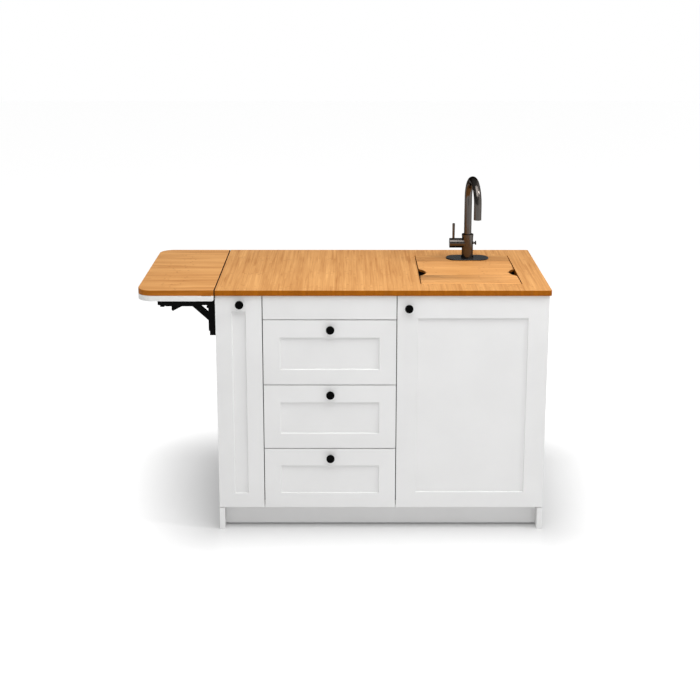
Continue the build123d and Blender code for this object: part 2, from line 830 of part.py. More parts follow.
with BuildPart() as deck_plate:
    with BuildSketch(Plane.XY.offset(worktop_height)):
        with Locations((tap_x, tap_y)):
            SlotOverall(deck_plate_length, deck_plate_width)
            Circle(tap_hole_radius, mode=Mode.SUBTRACT)
    extrude(amount=deck_plate_thickness)
    outline = faces().sort_by(Axis.Z)[-1].outer_wire().edges()
    chamfer(outline, length=deck_plate_chamfer)
write_piece(deck_plate, "deck_plate")

with BuildPart() as faucet_body:
    bar((tap_x, tap_y, deck_plate_top), (0, 0, 1), tap_body_radius, tap_body_top - deck_plate_top)
    bar((tap_x, tap_y, deck_plate_top), (0, 0, 1), tap_foot_radius, tap_foot_height)
    bar(
        (tap_x, tap_y, tap_body_top - tap_collar_height),
        (0, 0, 1),
        tap_body_radius + tap_collar_proud,
        tap_collar_height,
    )
    bar((tap_x, tap_y, lever_z), (-1, 0, 0), lever_housing_radius, lever_housing_length)
    bar(
        (tap_x, tap_y, lever_z),
        (1, 0, 0),
        diverter_boss_radius,
        tap_body_radius + diverter_boss_length,
    )
    bar((tap_x, tap_y, shank_bottom), (0, 0, 1), shank_radius, deck_plate_top - shank_bottom)
    bar(
        (tap_x, tap_y, tap_body_top - spout_socket_depth),
        (0, 0, 1),
        spout_radius + running_clearance,
        spout_socket_depth,
        Mode.SUBTRACT,
    )
    bar(
        (tap_x - lever_housing_length, tap_y, lever_z),
        (1, 0, 0),
        lever_spindle_radius + running_clearance,
        lever_spindle_length + blind_hole_gap,
        Mode.SUBTRACT,
    )
    bar(
        (tap_x + tap_body_radius + diverter_boss_length, tap_y, lever_z),
        (-1, 0, 0),
        diverter_neck_radius + running_clearance,
        diverter_stem_length + blind_hole_gap,
        Mode.SUBTRACT,
    )
    for inlet_side in (-1, 1):
        bar(
            (tap_x + inlet_side * hose_inlet_offset, tap_y, shank_bottom),
            (0, 0, 1),
            hose_inlet_radius,
            hose_inlet_depth,
            Mode.SUBTRACT,
        )
write_piece(faucet_body, "faucet_body")

with BuildPart() as faucet_nut:
    with BuildSketch(Plane.XY.offset(flange_top - sink_sheet - nut_height)):
        with Locations((tap_x, tap_y)):
            RegularPolygon(nut_radius, 6)
            Circle(shank_radius + nut_clearance, mode=Mode.SUBTRACT)
    extrude(amount=nut_height)
write_piece(faucet_nut, "faucet_nut")

# The spout's plane is turned a little to the right of straight ahead.
spout_forward = (sin(radians(spout_turn)), -cos(radians(spout_turn)), 0)
spout_normal = (-cos(radians(spout_turn)), -sin(radians(spout_turn)), 0)
spout_plane = Plane((tap_x, tap_y, 0), x_dir=spout_forward, z_dir=spout_normal)
spout_bottom = tap_body_top - spout_socket_depth + spout_bottom_gap
arch_centre_z = worktop_height + spout_top - spout_radius - spout_reach / 2
outlet_bottom = worktop_height + spout_outlet_height
spout_end = outlet_bottom + aerator_height

with BuildPart() as faucet_spout:
    with BuildLine(spout_plane) as spout_path:
        Line((0, spout_bottom), (0, arch_centre_z))
        CenterArc((spout_reach / 2, arch_centre_z), spout_reach / 2, 180, -180)
        Line((spout_reach, arch_centre_z), (spout_reach, spout_end))
    with BuildSketch(Plane((tap_x, tap_y, spout_bottom), x_dir=(1, 0, 0), z_dir=(0, 0, 1))):
        Circle(spout_radius)
        Circle(spout_radius - spout_wall, mode=Mode.SUBTRACT)
    sweep(path=spout_path.wire())
write_piece(faucet_spout, "faucet_spout")

outlet_x = tap_x + spout_forward[0] * spout_reach
outlet_y = tap_y + spout_forward[1] * spout_reach
spigot_radius = spout_radius - spout_wall - aerator_fit
with BuildPart() as aerator:
    bar((outlet_x, outlet_y, outlet_bottom), (0, 0, 1), spout_radius, aerator_height)
    bar((outlet_x, outlet_y, spout_end), (0, 0, 1), spigot_radius, aerator_spigot)
    bar(
        (outlet_x, outlet_y, outlet_bottom),
        (0, 0, 1),
        aerator_bore,
        aerator_height + aerator_spigot,
        Mode.SUBTRACT,
    )
    bar((outlet_x, outlet_y, outlet_bottom + aerator_mesh), (0, 0, 1), aerator_bore, aerator_mesh)
    with BuildSketch(Plane.XY.offset(outlet_bottom + aerator_mesh)):
        with Locations((outlet_x, outlet_y)):
            with PolarLocations(aerator_inner_ring_radius, aerator_inner_ring_count):
                Circle(aerator_mesh_hole_radius)
            with PolarLocations(aerator_outer_ring_radius, aerator_outer_ring_count):
                Circle(aerator_mesh_hole_radius)
    extrude(amount=aerator_mesh, mode=Mode.SUBTRACT)
write_piece(aerator, "aerator")

cap_right = tap_x - lever_housing_length - lever_cap_gap
rod_x = tap_x - lever_rod_position
rod_foot_z = lever_z + lever_housing_radius
with BuildPart() as lever_cap:
    bar((cap_right, tap_y, lever_z), (-1, 0, 0), lever_housing_radius, lever_cap_length)
    chamfer(faces().sort_by(Axis.X)[0].edges(), length=lever_cap_chamfer)
    bar(
        (cap_right, tap_y, lever_z),
        (1, 0, 0),
        lever_spindle_radius,
        lever_spindle_length + lever_cap_gap,
    )
    bar(
        (rod_x, tap_y, rod_foot_z - lever_spigot_length - blind_hole_gap),
        (0, 0, 1),
        lever_spigot_radius + running_clearance,
        lever_spigot_length + blind_hole_gap,
        Mode.SUBTRACT,
    )
write_piece(lever_cap, "lever_cap")

with BuildPart() as lever_rod:
    with BuildSketch(Plane((rod_x, tap_y, 0), x_dir=(1, 0, 0), z_dir=(0, -1, 0))):
        with BuildLine():
            Polyline(
                (0, rod_foot_z - lever_spigot_length),
                (lever_spigot_radius, rod_foot_z - lever_spigot_length),
                (lever_spigot_radius, rod_foot_z),
                (lever_rod_foot_radius, rod_foot_z),
                (lever_rod_radius, worktop_height + lever_rod_top - lever_rod_chamfer),
                (lever_rod_radius - lever_rod_chamfer, worktop_height + lever_rod_top),
                (0, worktop_height + lever_rod_top),
                close=True,
            )
        make_face()
    revolve(axis=Axis((rod_x, tap_y, 0), (0, 0, 1)))
write_piece(lever_rod, "lever_rod")

diverter_end = tap_x + diverter_reach
stem_start = tap_x + tap_body_radius + diverter_boss_length - diverter_stem_length
with BuildPart() as diverter_knob:
    with BuildSketch(Plane((0, tap_y, lever_z), x_dir=(1, 0, 0), z_dir=(0, -1, 0))):
        with BuildLine():
            Polyline(
                (stem_start, 0),
                (stem_start, diverter_neck_radius),
                (diverter_end - diverter_head_length, diverter_neck_radius),
                (diverter_end - diverter_rim, diverter_head_radius),
                (diverter_end - diverter_chamfer, diverter_head_radius),
                (diverter_end, diverter_head_radius - diverter_chamfer),
                (diverter_end, 0),
                close=True,
            )
        make_face()
    revolve(axis=Axis((0, tap_y, lever_z), (1, 0, 0)))
write_piece(diverter_knob, "diverter_knob")

# Folding side flap

flap_right = worktop_left - flap_gap
flap_left = flap_right - flap_width
underboard_bottom = under_worktop - underboard_thickness


def flap_board(z):
    """The flap's outline, with its two outer corners rounded, between two heights."""
    with BuildSketch(Plane.XY.offset(z[0])) as outline:
        with Locations(((flap_left + flap_right) / 2, (worktop_front + worktop_back) / 2)):
            Rectangle(flap_width, worktop_depth)
        fillet(outline.vertices().group_by(Axis.X)[0], radius=flap_corner_radius)
    extrude(outline.sketch, amount=z[1] - z[0])


with BuildPart() as flap_top:
    flap_board((under_worktop, worktop_height))
    fillet(faces().sort_by(Axis.Z)[-1].edges(), radius=worktop_edge_radius)
write_piece(flap_top, "flap_top")

with BuildPart() as flap_underboard:
    flap_board((underboard_bottom, under_worktop))
    inner_edges = edges().filter_by(Axis.Y).group_by(Axis.X)[-1]
    fillet(inner_edges.sort_by(Axis.Z)[0], radius=underboard_edge_radius)
write_piece(flap_underboard, "flap_underboard")

# Folding brackets: a wall plate, a strut, an arm under the flap and a release trigger on each.
# Each is drawn in an upright plane whose x runs outwards from the cabinet's side and whose y
# runs up from the flap's hinge line.

flap_hinge_z = underboard_bottom - hinge_below_arm_top
bracket_ys = (worktop_front + bracket_setback, worktop_back - bracket_setback)
strut_length = hypot(strut_reach, strut_pivot_drop)
strut_angle = degrees(atan2(strut_pivot_drop, strut_reach))
slide_length = strut_pivot_drop + strut_length - strut_reach


def bracket_plane(y):
    """The bracket's drawing plane at a depth y, facing the cabinet's back."""
    return Plane((left_face, y, flap_hinge_z), x_dir=(-1, 0, 0), z_dir=(0, 1, 0))


def side_plates(y, outer_width, sheet):
    """The planes where a channel's two side plates start."""
    return [bracket_plane(y - outer_width / 2), bracket_plane(y + outer_width / 2 - sheet)]


with BuildPart() as bracket_arms:
    for y in bracket_ys:
        arm_top = hinge_below_arm_top
        arm_bottom = arm_top - arm_height
        for plate in side_plates(y, arm_outer_width, bracket_sheet):
            with BuildSketch(plate) as cheek:
                with Locations(((hinge_out + arm_length) / 2, (arm_top + arm_bottom) / 2)):
                    Rectangle(arm_length - hinge_out, arm_height)
                outer_corner = cheek.vertices().group_by(Axis.X)[0].sort_by(Axis.Z)[0]
                fillet(outer_corner, radius=arm_end_radius)
                with Locations((hinge_out, 0)):
                    Circle(arm_knuckle_radius)
                with Locations((arm_foot_centre, arm_bottom)):
                    RectangleRounded(arm_foot_width, 2 * arm_foot_height, arm_foot_height / 2)
                with Locations((hinge_out, 0)):
                    Circle(pivot_radius + running_clearance, mode=Mode.SUBTRACT)
                with Locations((hinge_out + strut_reach + slide_length / 2, 0)):
                    SlotCenterToCenter(slide_length, slot_width, mode=Mode.SUBTRACT)
            extrude(amount=bracket_sheet)
        with BuildSketch(bracket_plane(y - arm_outer_width / 2)):
            with Locations(((arm_web_start + hinge_out + arm_length) / 2, arm_top - bracket_sheet / 2)):
                Rectangle(arm_length - arm_web_start - hinge_out, bracket_sheet)
        extrude(amount=arm_outer_width)
        tab_outer_width = trigger_plate + 2 * trigger_tab_gap + 2 * bracket_sheet
        for plate in side_plates(y, tab_outer_width, bracket_sheet):
            with BuildSketch(plate):
                with Locations((trigger_pivot_out, trigger_pivot_rise)):
                    Circle(trigger_tab_length / 2)
                with Locations((trigger_pivot_out, (trigger_pivot_rise + arm_top) / 2)):
                    Rectangle(trigger_tab_length, arm_top - trigger_pivot_rise)
                with Locations((trigger_pivot_out, trigger_pivot_rise)):
                    Circle(trigger_pivot_radius + running_clearance, mode=Mode.SUBTRACT)
            extrude(amount=bracket_sheet)
        for screw_out in arm_screw_outs:
            screw_x = left_face - screw_out
            hole_radius = screw_radius + running_clearance
            web_z = flap_hinge_z + arm_top - bracket_sheet
            bar((screw_x, y, web_z), (0, 0, 1), hole_radius, bracket_sheet, Mode.SUBTRACT)
write_piece(bracket_arms, "bracket_arms")

with BuildPart() as wall_plates:
    for y in bracket_ys:
        for plate in side_plates(y, wall_plate_outer_width, bracket_sheet):
            with BuildSketch(plate):
                with BuildLine():
                    Polyline(
                        (0, wall_plate_rise),
                        (0, -wall_plate_drop),
                        (wall_plate_foot_depth, -wall_plate_drop),
                        (wall_plate_foot_depth, -wall_plate_drop + wall_plate_step),
                        (wall_plate_depth, -wall_plate_drop + wall_plate_step),
                        (wall_plate_depth, wall_plate_rise),
                        close=True,
                    )
                make_face()
                with Locations((hinge_out, 0), (hinge_out, -strut_pivot_drop)):
                    Circle(pivot_radius + running_clearance, mode=Mode.SUBTRACT)
            extrude(amount=bracket_sheet)
        with BuildSketch(bracket_plane(y - wall_plate_outer_width / 2)):
            with Locations((bracket_sheet / 2, (wall_plate_rise - wall_plate_drop) / 2)):
                Rectangle(bracket_sheet, wall_plate_rise + wall_plate_drop)
        extrude(amount=wall_plate_outer_width)
        for drop in wall_screw_drops:
            bar(
                (left_face, y, flap_hinge_z - drop),
                (-1, 0, 0),
                screw_radius + running_clearance,
                bracket_sheet,
                Mode.SUBTRACT,
            )
write_piece(wall_plates, "wall_plates")

with BuildPart() as bracket_struts:
    for y in bracket_ys:
        for plate in side_plates(y, strut_outer_width, strut_bar):
            with BuildSketch(plate):
                with Locations(Location((hinge_out, -strut_pivot_drop), strut_angle)):
                    with Locations((strut_length / 2, 0)):
                        SlotCenterToCenter(strut_length, strut_width)
                    Circle(pivot_radius + running_clearance, mode=Mode.SUBTRACT)
            extrude(amount=strut_bar)
        for groove_y in (y - strut_outer_width / 2, y + strut_outer_width / 2 - strut_groove_depth):
            with BuildSketch(bracket_plane(groove_y)):
                with Locations(Location((hinge_out, -strut_pivot_drop), strut_angle)):
                    with Locations((strut_length / 2, 0)):
                        SlotCenterToCenter(strut_length - 2 * strut_width, strut_groove_width)
            extrude(amount=strut_groove_depth, mode=Mode.SUBTRACT)
        with BuildSketch(bracket_plane(y - strut_outer_width / 2 + strut_bar)):
            with Locations((hinge_out, -strut_pivot_drop)):
                Circle(strut_spacer_radius)
                Circle(pivot_radius + running_clearance, mode=Mode.SUBTRACT)
        extrude(amount=strut_outer_width - 2 * strut_bar)
        stub_reach = arm_outer_width / 2 - bracket_sheet - pivot_head_gap - strut_outer_width / 2
        for stub_y in (y - strut_outer_width / 2 - stub_reach, y + strut_outer_width / 2):
            with BuildSketch(bracket_plane(stub_y)):
                with Locations((hinge_out + strut_reach, 0)):
                    Circle(pivot_radius)
            extrude(amount=stub_reach)
write_piece(bracket_struts, "bracket_struts")

with BuildPart() as bracket_pins:
    for y in bracket_ys:
        shank_half = arm_outer_width / 2 + pivot_head_gap
        with BuildSketch(bracket_plane(y - shank_half)):
            with Locations((hinge_out, 0)):
                Circle(pivot_radius)
        extrude(amount=2 * shank_half)
        for head_y in (y - shank_half - pivot_head_height, y + shank_half):
            with BuildSketch(bracket_plane(head_y)):
                with Locations((hinge_out, 0)):
                    Circle(pivot_head_radius)
            extrude(amount=pivot_head_height)
        with BuildSketch(bracket_plane(y - wall_plate_outer_width / 2)):
            with Locations((hinge_out, -strut_pivot_drop)):
                Circle(pivot_radius)
        extrude(amount=wall_plate_outer_width)
write_piece(bracket_pins, "bracket_pins")

corner_centre_out = trigger_corner_out - trigger_corner_radius
corner_centre_drop = trigger_corner_drop + trigger_corner_radius
with BuildPart() as release_triggers:
    for y in bracket_ys:
        with BuildSketch(bracket_plane(y - trigger_plate / 2)) as blade:
            with Locations((trigger_pivot_out, trigger_pivot_rise)):
                Circle(trigger_boss_radius)
            with Locations((trigger_tip_out, -trigger_tip_drop)):
                Circle(trigger_tip_radius)
            with Locations((corner_centre_out, -corner_centre_drop)):
                Circle(trigger_corner_radius)
            make_hull()
        extrude(amount=trigger_plate)
        with BuildSketch(bracket_plane(y - trigger_tip_width / 2)):
            with Locations((trigger_tip_out, -trigger_tip_drop)):
                Circle(trigger_tip_radius)
        extrude(amount=trigger_tip_width)
        pin_half = trigger_plate / 2 + trigger_tab_gap + bracket_sheet
        with BuildSketch(bracket_plane(y - pin_half)):
            with Locations((trigger_pivot_out, trigger_pivot_rise)):
                Circle(trigger_pivot_radius)
        extrude(amount=2 * pin_half)
write_piece(release_triggers, "release_triggers")


# Screws


def wood_screw(head_seat, direction, length):
    """A screw whose head lies on head_seat and whose shank runs along a direction."""
    bar(head_seat, direction, screw_radius, length)
    backwards = tuple(-part for part in direction)
    bar(head_seat, backwards, screw_head_radius, screw_head_height)


with BuildPart() as flap_screws:
    for y in bracket_ys:
        for screw_out in arm_screw_outs:
            seat = (left_face - screw_out, y, flap_hinge_z + hinge_below_arm_top - bracket_sheet)
            wood_screw(seat, (0, 0, 1), screw_length)
write_piece(flap_screws, "flap_screws")

with BuildPart() as cabinet_screws:
    for y in bracket_ys:
        for drop in wall_screw_drops:
            wood_screw((left_face - bracket_sheet, y, flap_hinge_z - drop), (1, 0, 0), screw_length)
    for wall_x, inward in bracket_walls:
        for bolt_y in floor_bolt_ys:
            seat = (wall_x + inward * floor_bracket_sheet, bolt_y, floor_screw_height)
            wood_screw(seat, (-inward, 0, 0), screw_length)
write_piece(cabinet_screws, "cabinet_screws")

print("front bolts", front_bolt_y, "drawers", drawer_zs, "trays", tray_bottoms)
print("hinge", left_face - hinge_out, flap_hinge_z)
print("strut pivot", flap_hinge_z - strut_pivot_drop, "ratio", (strut_angle + 90) / 90)
print("tap", tap_x, tap_y, "lever", lever_z)
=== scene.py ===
import json
import math

import bmesh
import bpy
from mathutils import Matrix, Vector

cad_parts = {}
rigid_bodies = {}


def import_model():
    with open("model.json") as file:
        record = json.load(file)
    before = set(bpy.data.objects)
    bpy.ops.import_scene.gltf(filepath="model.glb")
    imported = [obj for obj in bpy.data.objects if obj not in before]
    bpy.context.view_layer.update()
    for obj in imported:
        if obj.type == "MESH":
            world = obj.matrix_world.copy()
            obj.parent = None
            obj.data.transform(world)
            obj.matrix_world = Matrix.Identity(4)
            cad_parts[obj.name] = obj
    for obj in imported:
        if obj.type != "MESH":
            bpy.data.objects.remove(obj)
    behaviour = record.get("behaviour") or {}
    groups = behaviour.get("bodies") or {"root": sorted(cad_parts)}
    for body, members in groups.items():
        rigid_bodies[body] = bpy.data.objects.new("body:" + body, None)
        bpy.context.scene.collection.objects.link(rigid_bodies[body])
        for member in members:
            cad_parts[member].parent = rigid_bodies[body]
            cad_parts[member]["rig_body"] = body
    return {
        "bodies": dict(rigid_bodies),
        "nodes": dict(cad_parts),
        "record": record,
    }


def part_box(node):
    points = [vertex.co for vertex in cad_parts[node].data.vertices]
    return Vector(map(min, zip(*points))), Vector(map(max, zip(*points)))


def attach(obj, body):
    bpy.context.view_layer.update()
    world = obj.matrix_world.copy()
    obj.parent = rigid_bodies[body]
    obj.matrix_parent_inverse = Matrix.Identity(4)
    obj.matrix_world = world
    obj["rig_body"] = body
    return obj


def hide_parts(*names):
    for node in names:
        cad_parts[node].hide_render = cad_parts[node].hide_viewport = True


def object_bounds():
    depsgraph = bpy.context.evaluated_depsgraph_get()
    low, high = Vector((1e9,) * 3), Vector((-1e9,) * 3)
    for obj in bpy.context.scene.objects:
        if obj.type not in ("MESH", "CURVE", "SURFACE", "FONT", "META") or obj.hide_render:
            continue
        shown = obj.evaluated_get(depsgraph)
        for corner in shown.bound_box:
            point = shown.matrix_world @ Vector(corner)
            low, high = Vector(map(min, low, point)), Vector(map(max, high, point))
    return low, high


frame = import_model()
cad_nodes = frame["nodes"]

# The start-up file's own objects go, so that only the cabinet and its stage are left.
kept_objects = set(cad_nodes.values()) | set(frame["bodies"].values())
for leftover in list(bpy.data.objects):
    if leftover not in kept_objects:
        bpy.data.objects.remove(leftover)
cad_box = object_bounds()

# Driving values, in metres unless the name says otherwise

# The camera, fitted to the photograph's 700 pixel square frame
camera_place = Vector((-0.119, -4.7813, 2.0769))
camera_pitch_degrees = 12.864
camera_yaw_degrees = 0.055
camera_roll_degrees = 0.026
focal_length_pixels = 1294.8
frame_pixels = 700
principal_row = 250
sensor_width_mm = 36.0
camera_reach = 60.0

# Stage. Where the floor is seen it glows, least beside the carcass, which paints a shade round it, and
# fully beyond the shade's reach.
# It has one tone where it is seen and a lighter one for the light that it throws back.
floor_half_size = 14.0
floor_drop = 0.0002
carcass_low, carcass_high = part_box("base_panel")
shade_reach = 0.44
glow_near = 0.08
glow_far = 0.68
floor_seen_tone = 0.60
floor_lit_tone = 0.88
cabinet_middle = (0.1, -0.1, 0.6)

# World: its plain light, and the bright studio side that polished metal mirrors. The side is given
# by two directions along X and the strengths there.
world_light = 0.60
studio_side_light = (0.2, 0.7, 0.2, 1.0)

# Copied boards and metalwork
weld_distance = 1e-6
flat_angle_degrees = 0.2
sharp_angle_degrees = 40.0
bevel_segments = 2
front_ease = 0.0013
board_ease = 0.0008
wood_ease = 0.0006
metal_ease = 0.0003

# Screws. A low head's profile is heights above its surface, each with a radius there. The pan head's
# is shares of its depth down from its top, each with a share of its radius.
cross_arm = 0.0021
cross_half_width = 0.00055
least_share = 1e-6
screw_sides = 48
pan_head_depth = 0.0022
pan_head_shares = ((0.0, 0.66), (0.22, 0.88), (0.6, 1.0), (1.0, 1.0))
pan_head_recess_share = 0.55
pan_head_fit = 0.98
shank_radius = 0.0019
screw_point_radius = 0.0003
slide_head = ((0.0, 0.0042), (0.0008, 0.0040), (0.0016, 0.0031))
plate_head = ((0.0, 0.0045), (0.0012, 0.0042), (0.002, 0.003))
arm_head = ((0.0, 0.0032), (0.0012, 0.003))
low_head_recess = 0.001
arm_head_recess = 0.0007

# Drawer slides
slide_sheet = 0.0012
slide_lip = 0.006
slide_screw_shares = (0.08, 0.45, 0.9)
ball_radius = 0.0016
ball_spacing = 0.028
ball_subdivisions = 2

# Door hinges: a wall plate, an arm that bends down to the door, and a cap on the arm. Outlines hold
# distances out from the wall or up from the middle, each with a distance along the wall.
hinge_plate_outline = (
    (-0.023, 0.014), (-0.019, 0.004), (0.019, 0.004), (0.023, 0.014),
    (0.023, 0.030), (0.019, 0.040), (-0.019, 0.040), (-0.023, 0.030),
)
hinge_plate_sheet = 0.003
hinge_arm_outline = (
    (0.0163, 0.0), (0.0163, 0.016), (0.0118, 0.028), (0.0103, 0.078),
    (0.003, 0.0785), (0.003, 0.026), (0.0065, 0.012), (0.0065, 0.0),
)
hinge_arm_height = 0.015
hinge_cap_outline = ((0.0118, 0.0), (0.0124, 0.004), (0.0108, 0.036), (0.0095, 0.038))
hinge_cap_start = 0.034
hinge_cap_height = 0.0132
plate_screw_rise = 0.017
plate_screw_setback = 0.022
arm_screw_out = 0.0115
arm_screw_setback = 0.024
hinge_ease = 0.0004

# Dark strips: painted shade in the seam between flap and worktop and in the seams between the fronts, and a
# thin black strip in the flap's slit. A seam strip's profile is shares of its thickness, each with a share
# of its height.
seam_strip_profile = (
    (0.0, 0.10), (0.6, 0.12), (0.95, 0.2), (1.0, 0.5), (0.95, 0.93), (0.6, 0.975), (0.0, 0.98),
)
seam_strip_end_gap = 0.0015
seam_strip_thickness = 0.003
slit_strip_length = 0.034
slit_strip_depth = 0.017
slit_strip_end_gap = 0.009
slit_strip_sheet = 0.0012
slit_strip_proud = 0.0003
# Partition strips: black, painted shade in the seams between the fronts.
partition_shade_thickness = 0.0015
partition_shade_inset = 0.002
partition_shade_slope = 0.001

# Trim on the flap's brackets. The ears' profile is shares of their reach and of their height.
ear_profile = ((0.0, 0.0), (0.7, 0.0), (0.93, 0.15), (1.0, 0.5), (0.93, 0.85), (0.7, 1.0), (0.0, 1.0))
ear_root = 0.002
ear_reach = 0.008
ear_drop = 0.0165
ear_height = 0.0105
ear_sheet = 0.002
cover_start = 0.066
cover_length = 0.108
cover_sheet = 0.0008
cover_drop = 0.030
cover_height = 0.0165
cover_slope = 0.006

# Bamboo: glued strips, and the colours of its faces and edges from dark to light
strip_width = 0.0085
strip_segment = 0.42
strip_spread = 0.34
knuckle_spacing = 0.23
knuckle_strength = 0.35
knuckle_colour = (0.25, 0.085, 0.015)
face_colours = ((0.45, 0.188, 0.051), (0.74, 0.385, 0.136))
worktop_edge_colours = ((0.26, 0.070, 0.001), (0.41, 0.125, 0.004))
flap_edge_colours = ((0.32, 0.095, 0.006), (0.54, 0.185, 0.022))
lid_edge_colours = ((0.16, 0.050, 0.004), (0.27, 0.095, 0.012))
# The lid's edge is painted black below a depth under its top: painted shade for the dark seen in its
# notches.
edge_shade_colour = (0.003, 0.003, 0.003)
lid_unshaded_depth = 0.008
edge_shade_blend = 0.001

# Plywood: the thickness of the drawer boxes' boards and of one layer, and how much finer than its
# figure its pores are
box_board = 0.012
ply_layer = 0.0013
pore_fineness = 9.0

# Paint and metal: the share by which paint's tone varies, how bright worn coating is against sound
# coating, and how fine brush lines are along each axis
paint_mottle = 0.012
worn_brightness = 1.8
brushed_along_x = (12.0, 700.0, 700.0)
brushed_along_z = (900.0, 900.0, 30.0)


# Shader node helpers


class Shader:
    """One material's node tree, with short ways to add and join nodes."""

    def __init__(self, name):
        self.material = bpy.data.materials.new(name)
        self.material.use_nodes = True
        self.nodes = self.material.node_tree.nodes
        self.links = self.material.node_tree.links
        self.surface = self.nodes["Principled BSDF"]
        coordinates = self.add("ShaderNodeTexCoord").outputs
        self.place = coordinates["Object"]
        self.upward = self.add("ShaderNodeSeparateXYZ", {0: coordinates["Normal"]}).outputs[2]

    def add(self, kind, inputs=None, **settings):
        """A node with its settings made, and its inputs set to values or joined to sockets."""
        node = self.nodes.new(kind)
        for key, value in settings.items():
            setattr(node, key, value)
        for key, value in (inputs or {}).items():
            self.feed(node.inputs[key], value)
        return node

    def feed(self, socket, value):
        if isinstance(value, bpy.types.NodeSocket):
            self.links.new(value, socket)
        else:
            socket.default_value = value

    def set(self, **inputs):
        """Set or join inputs of the surface shader, named with underscores for spaces."""
        for key, value in inputs.items():
            self.feed(self.surface.inputs[key.replace("_", " ")], value)

    def math(self, operation, first, second=0.0):
        return self.add("ShaderNodeMath", {0: first, 1: second}, operation=operation).outputs[0]

    def scaled(self, vector, factors):
        """A vector times one factor for each axis."""
        node = self.add("ShaderNodeVectorMath", {0: vector, 1: factors}, operation="MULTIPLY")
        return node.outputs[0]

    def joined(self, x, y, z):
        return self.add("ShaderNodeCombineXYZ", {0: x, 1: y, 2: z}).outputs[0]

    def noise(self, vector, scale=1.0, detail=2.0, roughness=0.5):
        inputs = {"Vector": vector, "Scale": scale, "Detail": detail, "Roughness": roughness}
        return self.add("ShaderNodeTexNoise", inputs).outputs["Fac"]

    def random(self, vector):
        return self.add("ShaderNodeTexWhiteNoise", {"Vector": vector}).outputs["Value"]

    def fitted(self, value, low, high, to_low=0.0, to_high=1.0, smooth=False):
        """A value moved from one range to another, clamped at its ends."""
        inputs = {"Value": value, "From Min": low, "From Max": high, "To Min": to_low, "To Max": to_high}
        kind = "SMOOTHSTEP" if smooth else "LINEAR"
        return self.add("ShaderNodeMapRange", inputs, interpolation_type=kind).outputs[0]

    def mixed(self, share, first, second):
        """A colour between two colours."""
        node = self.add("ShaderNodeMix", data_type="RGBA")
        self.feed(node.inputs[0], share)
        self.feed(node.inputs[6], first)
        self.feed(node.inputs[7], second)
        return node.outputs[2]

    def bump(self, height, distance, strength):
        inputs = {"Height": height, "Distance": distance, "Strength": strength}
        self.set(Normal=self.add("ShaderNodeBump", inputs).outputs[0])


def colour(red, green, blue):
    return (red, green, blue, 1.0)


def grey(tone):
    return colour(tone, tone, tone)


def shades(base, spread):
    """A colour made darker and made lighter by the same share of itself."""
    darker = colour(*(part * (1.0 - spread) for part in base[:3]))
    lighter = colour(*(min(part * (1.0 + spread), 1.0) for part in base[:3]))
    return darker, lighter


# Materials


